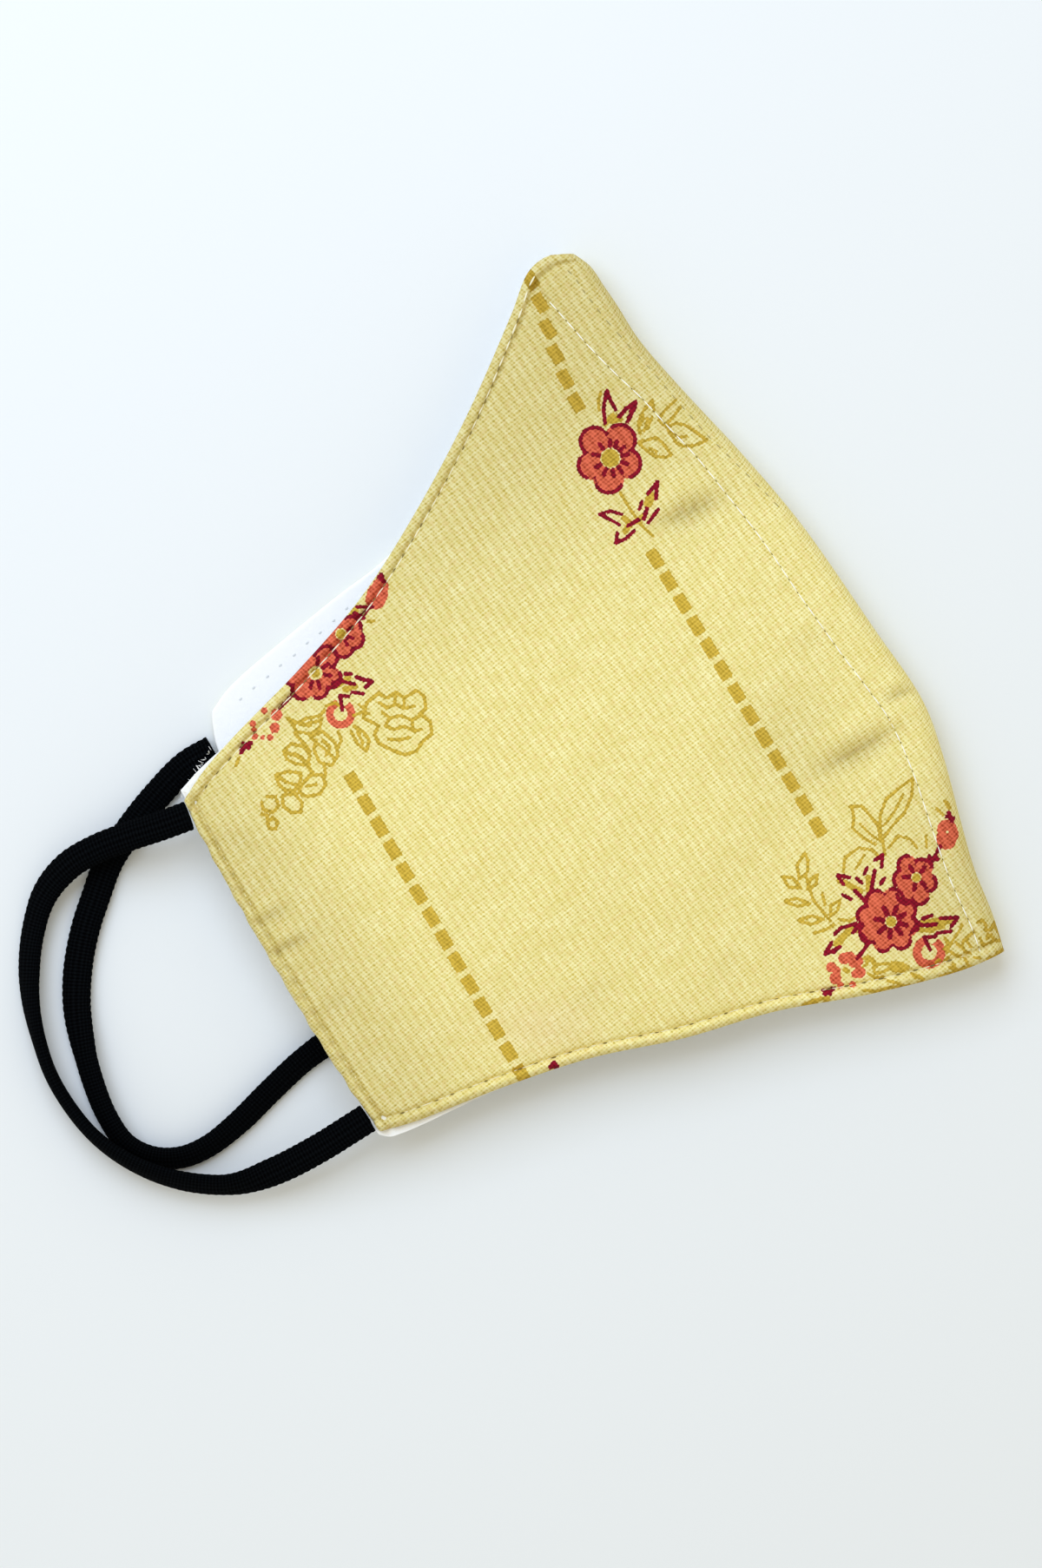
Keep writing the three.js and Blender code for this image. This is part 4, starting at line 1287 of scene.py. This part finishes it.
# Dark dashes of painted shade where the needle went in, given as the threads are, and their lengths
HEM_SLIT = (0.42, 0.2, 0.0)
SEAM_SLIT = (0.24, 0.2, 0.0)
HEM_SLIT_LENGTH = 0.95
SEAM_SLIT_LENGTH = 0.36
# Pitch of the stitches, the share of it that the thread shows, and half a lining stitch's length
FOLD_STITCH_PITCH = 2.7
INNER_STITCH_PITCH = 2.3
HEM_THREAD_SHOWN = 0.74
EAR_THREAD_SHOWN = 0.80
SEAM_THREAD_SHOWN = 0.86
INNER_THREAD_SHOWN = 0.5
LINING_STITCH_HALF = 0.35
# Loose fibres of the lining's nap at the near half's upper ear corner: how many, the line in plan mm
# on which they start, their way in degrees, length, height and how far an end rises or sinks
FIBRE_COUNT = 34
FIBRE_FROM = (0.4, 67.6)
FIBRE_TO = (9.5, 72.4)
FIBRE_WAYS = (70, 185)
FIBRE_LENGTHS = (0.4, 1.3)
FIBRE_HEIGHTS = (8.2, 9.2)
FIBRE_RISES = (-0.5, 0.8)
# Faces round a stitch or fibre and from one end of it to the other
STITCH_SIDES = 8
STITCH_RINGS = 6


def surface_place(half, column, row, relief):
    """A place on a half's outer face from its distances in mm from the ear edge and the lower hem."""
    length = half.length_at(row / MEAN_HEIGHT)
    v = np.clip(row / half.height_at(column / length), 0, 1)
    return row_place(*set_down(half, column, length, v, np.zeros_like(column), 0.0, True, relief))


def thread_piece(name, ends, size, material):
    """Short rounded stitches between pairs of places."""
    width, thick, lift = size
    bm = bmesh.new()
    for a, b in ends:
        start, end = Vector(a), Vector(b)
        run = end - start
        forward = run.normalized()
        sideways = Vector((0, 0, 1)).cross(forward).normalized()
        upward = forward.cross(sideways)
        turn = Matrix((forward, sideways, upward)).transposed().to_4x4()
        shape = Matrix.Diagonal((run.length / 2, width * MM / 2, thick * MM / 2, 1.0))
        middle = (start + end) / 2 + Vector((0, 0, lift * MM))
        place = Matrix.Translation(middle) @ turn @ shape
        bmesh.ops.create_uvsphere(
            bm, u_segments=STITCH_SIDES, v_segments=STITCH_RINGS, radius=1.0, matrix=place
        )
    return add_piece(name, mesh_from(bm, name), material)


def stitch_ends(place, total, pitch, share):
    """Pairs of places along a line of stitches."""
    count = int(total / pitch)
    starts = (np.arange(count) + 0.5 - share / 2) * pitch
    return list(zip(place(starts), place(starts + share * pitch)))


def hem_stitches(half, relief):
    """The topstitching of a half's lower and upper edges."""
    inner = HEM_STITCH

    def along_bottom(run):
        return surface_place(half, inner + run, np.full_like(run, inner), relief)

    def along_top(run):
        column = inner + run
        row = half.height_at(column / half.high_length) - inner
        return surface_place(half, column, row, relief)

    ends = stitch_ends(along_bottom, half.low_length - inner, STITCH_PITCH, HEM_THREAD_SHOWN)
    return ends + stitch_ends(along_top, half.high_length - inner, STITCH_PITCH, HEM_THREAD_SHOWN)


def ear_stitches(half, relief):
    """The topstitching of a half's ear edge."""
    def along_ear(run):
        return surface_place(half, np.full_like(run, EAR_STITCH), HEM_STITCH + run, relief)
    return stitch_ends(along_ear, half.ear.length - 2 * HEM_STITCH, STITCH_PITCH, EAR_THREAD_SHOWN)


def seam_stitches(half, relief):
    """The topstitching beside the centre seam."""
    def beside_fold(run):
        v = run / FOLD.length
        length = half.length_at(v)
        column = length - (stitch_in(v) - FOLD_RUN)
        return row_place(*set_down(half, column, length, v, np.zeros_like(v), 0.0, True, relief))
    return stitch_ends(beside_fold, FOLD.length - 2 * HEM_STITCH, FOLD_STITCH_PITCH, SEAM_THREAD_SHOWN)


def inner_stitches(half, relief):
    """The row of stitches between the topstitching and the fold, darkened with painted shade."""
    def beside_fold(run):
        v = INNER_STITCH_UP[0] + run / FOLD.length
        inward = np.interp(v, INNER_STITCH_UP, INNER_STITCH_IN)
        length = half.length_at(v)
        column = length - np.maximum(inward - FOLD_RUN, 0)
        turn = np.arcsin(np.clip(1 - inward / FOLD_RUN, 0, 1))
        return row_place(*set_down(half, column, length, v, turn, 0.0, True, relief))
    reach = (INNER_STITCH_UP[-1] - INNER_STITCH_UP[0]) * FOLD.length
    return stitch_ends(beside_fold, reach, INNER_STITCH_PITCH, INNER_THREAD_SHOWN)


def lining_stitches():
    """The stitches that show on the far lining as grey marks of painted shade, as pairs of places along its
    upper edge.
    """
    places = [photo_to_plan(*spot) for spot in LINING_STITCHES]
    first, last = np.array(places[0]), np.array(places[-1])
    reach = (last - first) / np.linalg.norm(last - first) * LINING_STITCH_HALF
    return [
        tuple(row_place(x + way * reach[0], y + way * reach[1], BOTH_PLIES) for way in (-1, 1))
        for x, y in places
    ]


def lining_fibres():
    """Loose fibres of the near lining's nap at its upper ear corner, as pairs of places."""
    draws = np.random.default_rng(11)
    fibres = []
    for _ in range(FIBRE_COUNT):
        share = draws.uniform()
        start = np.array(FIBRE_FROM) * (1 - share) + np.array(FIBRE_TO) * share
        turn = math.radians(draws.uniform(*FIBRE_WAYS))
        reach = draws.uniform(*FIBRE_LENGTHS)
        height = draws.uniform(*FIBRE_HEIGHTS)
        end = start + reach * np.array([math.cos(turn), math.sin(turn)])
        fibres.append((row_place(*start, height), row_place(*end, height + draws.uniform(*FIBRE_RISES))))
    return fibres


def needle_hole_shadows(name, ends, length, size, pitch, material):
    """Dark dashes of painted shade in the needle holes between one stitch and the next, where the needle
    went in and out.
    """
    slits = []
    for (_, before), (after, _) in zip(ends[:-1], ends[1:]):
        apart = np.linalg.norm(after - before)
        if apart < pitch * MM:
            centre = (before + after) / 2
            reach = (after - before) / apart * length * MM / 2
            slits.append((centre - reach, centre + reach))
    return thread_piece(name, slits, size, material)


# Ear loops

# Lean of the bands: distance along the loop in mm, degrees from lying flat
NEAR_LEAN = [
    (0, 0), (24, 8), (34, 37), (45, 48), (50, 60), (58, 80), (66, 86), (75, 82), (84, 70), (95, 55),
    (102, 52), (106, 38), (110, 18), (116, 4), (140, 0),
]
FAR_LEAN = [
    (0, 0), (48, 6), (57, 24), (63, 44), (75, 50), (86, 46), (97, 46), (104, 40), (118, 38), (126, 26),
    (140, 20),
]
# How far a band's lowest edge stays above the table
LOOP_CLEARANCE = 0.12
# Length of a ring of faces along the band, faces round it, how square its section is, and the small
# swellings along its edges
RING_PITCH = 0.42
BAND_SIDES = 28
BAND_SQUARENESS = 0.8
SCALLOP = 0.03
SCALLOP_PITCH = 1.25
ROUTE_STEPS = 30


def oval_reach(turn):
    """How far a turned band reaches up and down from its centre line."""
    return math.hypot(LOOP_WIDTH / 2 * math.sin(turn), LOOP_THICKNESS / 2 * math.cos(turn))


def raise_route(route, leans):
    """Lifts a route's points so that the leaning band doesn't reach below the table."""
    line = Line(smooth_line(route, ROUTE_STEPS))
    steps = np.linalg.norm(np.diff(np.array(route), axis=0), axis=1)
    places = np.concatenate([[0.0], np.cumsum(steps)]) * line.length / steps.sum()
    raised = []
    for (x, y, z), place in zip(route, places):
        turn = math.radians(np.interp(place, *zip(*leans)))
        raised.append((x, y, max(z, oval_reach(turn) + LOOP_CLEARANCE)))
    return raised


def band_ways(centres, lean):
    """The ways in which a leaning band is wide and thick at each place of its route."""
    ahead = np.gradient(centres, axis=0)
    ahead /= np.linalg.norm(ahead, axis=1, keepdims=True)
    flat = np.cross([0.0, 0.0, 1.0], ahead)
    flat /= np.linalg.norm(flat, axis=1, keepdims=True)
    upward = np.cross(ahead, flat)
    return flat * np.cos(lean) + upward * np.sin(lean), upward * np.cos(lean) - flat * np.sin(lean)


def band_tube(name, rings):
    """A closed upright tube of one unit's radius and height, with a ring of faces for each step."""
    bm = bmesh.new()
    bmesh.ops.create_cone(bm, cap_ends=True, segments=BAND_SIDES, radius1=1.0, radius2=1.0, depth=1.0)
    upright = [e for e in bm.edges if abs(e.verts[0].co.z - e.verts[1].co.z) > 0.5]
    bmesh.ops.subdivide_edges(bm, edges=upright, cuts=rings - 1, use_grid_fill=True)
    for cap in [f for f in bm.faces if len(f.verts) > 4]:
        bmesh.ops.poke(bm, faces=[cap])
    return mesh_from(bm, name)


def loop_band(name, points, leans, material):
    """A flat elastic swept along its route; gives the piece, its centre line and its length in metres."""
    line = Line(smooth_line(raise_route(points, leans), ROUTE_STEPS))
    rings = int(line.length / RING_PITCH)
    shares = np.linspace(0, 1, rings + 1)
    centres = line.at(shares)
    distance = shares * line.length
    wide_way, thick_way = band_ways(centres, np.radians(np.interp(distance, *zip(*leans)))[:, None])
    mesh = band_tube(name, rings)
    unit = vertex_places(mesh)
    ring = np.clip(np.rint((unit[:, 2] + 0.5) * rings).astype(int), 0, rings)
    angle = np.arctan2(unit[:, 1], unit[:, 0])
    radius = np.hypot(unit[:, 0], unit[:, 1])
    scallop = 1 + SCALLOP * np.sin(2 * np.pi * distance[ring] / SCALLOP_PITCH)
    squared = np.sign(np.cos(angle)) * np.abs(np.cos(angle)) ** BAND_SQUARENESS
    wide = squared * LOOP_WIDTH / 2 * scallop
    thick = np.sin(angle) * LOOP_THICKNESS / 2
    section = wide_way[ring] * wide[:, None] + thick_way[ring] * thick[:, None]
    place = centres[ring] + section * radius[:, None]
    mesh.vertices.foreach_set("co", row_place(*place.T).ravel())
    around = np.abs(angle) / np.pi * (LOOP_WIDTH + LOOP_THICKNESS)
    add_cloth_map(mesh, np.stack([around, distance[ring]], axis=1))
    path = [tuple(p) for p in row_place(*centres.T)]
    return add_piece(name, mesh, material), path, line.length * MM


# The pieces

# Columns and rows between the hems, and columns round the bend, of each ply's mesh
OUTER_COUNTS = (80, 96, 9)
PLAIN_COUNTS = (40, 50, 6)
FAR_LINING_COUNTS = (60, 70, 6)
OUTER_DEPTHS = (0.0, PLY)
LINING_DEPTHS = (PLY + PLY_GAP, BOTH_PLIES)
FAR_OUTER_INSET = 0.6


def near_outer_ply(material):
    bm = grid_ply(OUTER_COUNTS)
    refine(bm, NEAR, OUTER_COUNTS, near_print_edge, 2)
    piece, points = finish_ply(
        bm, "outer_near_cloth", NEAR, OUTER_DEPTHS, OUTER_COUNTS, material, relief="near"
    )
    add_print(piece, *points)
    return piece


def far_outer_ply(material):
    bm = grid_ply(PLAIN_COUNTS)
    return finish_ply(
        bm, "outer_far_cloth", FAR, OUTER_DEPTHS, PLAIN_COUNTS, material, FAR_OUTER_INSET, relief="plain"
    )[0]


def near_lining_ply(material):
    bm = grid_ply(PLAIN_COUNTS)
    return finish_ply(
        bm, "lining_near_cloth", NEAR, LINING_DEPTHS, PLAIN_COUNTS, material,
        LINING_INSET, LINING_SHOW, LINING_RISE,
    )[0]


def far_lining_ply(material):
    bm = grid_ply(FAR_LINING_COUNTS)
    return finish_ply(
        bm, "lining_far_cloth", FAR, LINING_DEPTHS, FAR_LINING_COUNTS, material, relief="plain"
    )[0]


cotton = printed_cotton()
flannel = white_flannel()
elastic = black_elastic()
cream_thread = plain_material("cream_sewing_thread", "f2ebcb", 0.7)
white_thread = plain_material("white_sewing_thread", "fbfaf0", 0.7)
# the colour of the painted shade in the needle holes
needle_shade = plain_material("needle_hole_shade", "857440", 0.95)
# the colour of the painted shade along the inner row of stitches
inner_shade = plain_material("inner_thread_shade", "a99c63", 0.9)
# the colour of the painted shade at the far lining's stitches
lining_shade = plain_material("lining_hole_shade", "dce0e2", 0.95)

outer_near = near_outer_ply(cotton)
outer_far = far_outer_ply(cotton)
lining_near = near_lining_ply(flannel)
lining_far = far_lining_ply(flannel)

hem_ends = hem_stitches(NEAR, "near")
seam_ends = seam_stitches(NEAR, "near")
hem_thread = thread_piece(
    "hem_stitches_near", hem_ends + ear_stitches(NEAR, "near"), HEM_THREAD, cream_thread
)
seam_thread = thread_piece("centre_stitches_near", seam_ends, SEAM_THREAD, white_thread)
inner_thread = thread_piece("inner_stitches_near", inner_stitches(NEAR, "near"), INNER_THREAD, inner_shade)
fibres = thread_piece("lining_fibres_near", lining_fibres(), FIBRE, flannel)
lining_stitch_shade = thread_piece("lining_stitches_far", lining_stitches(), LINING_THREAD, lining_shade)
hem_hole_shadows = needle_hole_shadows(
    "hem_needle_hole_shadows_near", hem_ends, HEM_SLIT_LENGTH, HEM_SLIT, STITCH_PITCH, needle_shade
)
seam_hole_shadows = needle_hole_shadows(
    "centre_needle_hole_shadows_near", seam_ends, SEAM_SLIT_LENGTH, SEAM_SLIT, FOLD_STITCH_PITCH, needle_shade
)
loop_near, near_path, near_length = loop_band("ear_loop_near_band", NEAR_LOOP, NEAR_LEAN, elastic)
loop_far, far_path, far_length = loop_band("ear_loop_far_band", FAR_LOOP, FAR_LEAN, elastic)

# Table, light and camera, in metres. The picture's right and up lie turned on the table.
RIGHT = Vector((0.8545, -0.5195, 0.0))
UP = Vector((0.5195, 0.8545, 0.0))
VIEW_CENTRE = Vector((-0.0072, -0.00375, 0.009))
TABLE_HALF = 1.5
LENS = 120.0
SENSOR = 36.0
# Length of the table that the picture's longer side spans
FRAME_LENGTH = 0.2744
# The window, up and to the left of the picture: its size, power, light and place from the view's centre
WINDOW_SIZE = (0.80, 0.62)
WINDOW_POWER = 4.8
WINDOW_LIGHT = (0.60, 0.75, 1.0)
WINDOW_PLACE = -0.24 * RIGHT + 0.40 * UP + Vector((0, 0, 0.64))
# The room's even, warmer light
ROOM_LIGHT = (1.0, 0.945, 0.79, 1.0)
ROOM_POWER = 0.72


def add_table():
    bm = bmesh.new()
    bmesh.ops.create_grid(bm, x_segments=1, y_segments=1, size=TABLE_HALF)
    material = plain_material("white_table", "eceff1", 0.9)
    return add_piece("table_top", mesh_from(bm, "table_top"), material, smooth=False)


def add_camera():
    data = bpy.data.cameras.new("camera")
    data.lens = LENS
    data.sensor_width = SENSOR
    camera = bpy.data.objects.new("camera", data)
    bpy.context.scene.collection.objects.link(camera)
    turn = Matrix((RIGHT, UP, Vector((0, 0, 1)))).transposed().to_4x4()
    height = Vector((0, 0, FRAME_LENGTH * LENS / SENSOR))
    camera.matrix_world = Matrix.Translation(VIEW_CENTRE + height) @ turn
    bpy.context.scene.camera = camera


def add_window():
    data = bpy.data.lights.new("window", "AREA")
    data.shape = "RECTANGLE"
    data.size, data.size_y = WINDOW_SIZE
    data.energy = WINDOW_POWER
    data.color = WINDOW_LIGHT
    window = bpy.data.objects.new("window", data)
    bpy.context.scene.collection.objects.link(window)
    window.location = VIEW_CENTRE + WINDOW_PLACE
    window.rotation_euler = (-WINDOW_PLACE).to_track_quat("-Z", "Y").to_euler()


def add_room_light():
    world = bpy.data.worlds.new("studio")
    world.use_nodes = True
    background = world.node_tree.nodes["Background"]
    background.inputs["Color"].default_value = ROOM_LIGHT
    background.inputs["Strength"].default_value = ROOM_POWER
    bpy.context.scene.world = world


floor = add_table()
add_camera()
add_window()
add_room_light()
bpy.context.scene.view_settings.view_transform = "Standard"

# What each piece is and rides on
# The pieces, and what they ride on
PIECES = (
    outer_near, outer_far, lining_near, lining_far, hem_thread, seam_thread, hem_hole_shadows, seam_hole_shadows,
    inner_thread, lining_stitch_shade, fibres, loop_near, loop_far,
)
for piece in PIECES:
    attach(piece, "root")
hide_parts("outer_near")
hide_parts("outer_far")
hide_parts("lining_near")
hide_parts("lining_far")
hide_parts("ear_loop_near")
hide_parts("ear_loop_far")
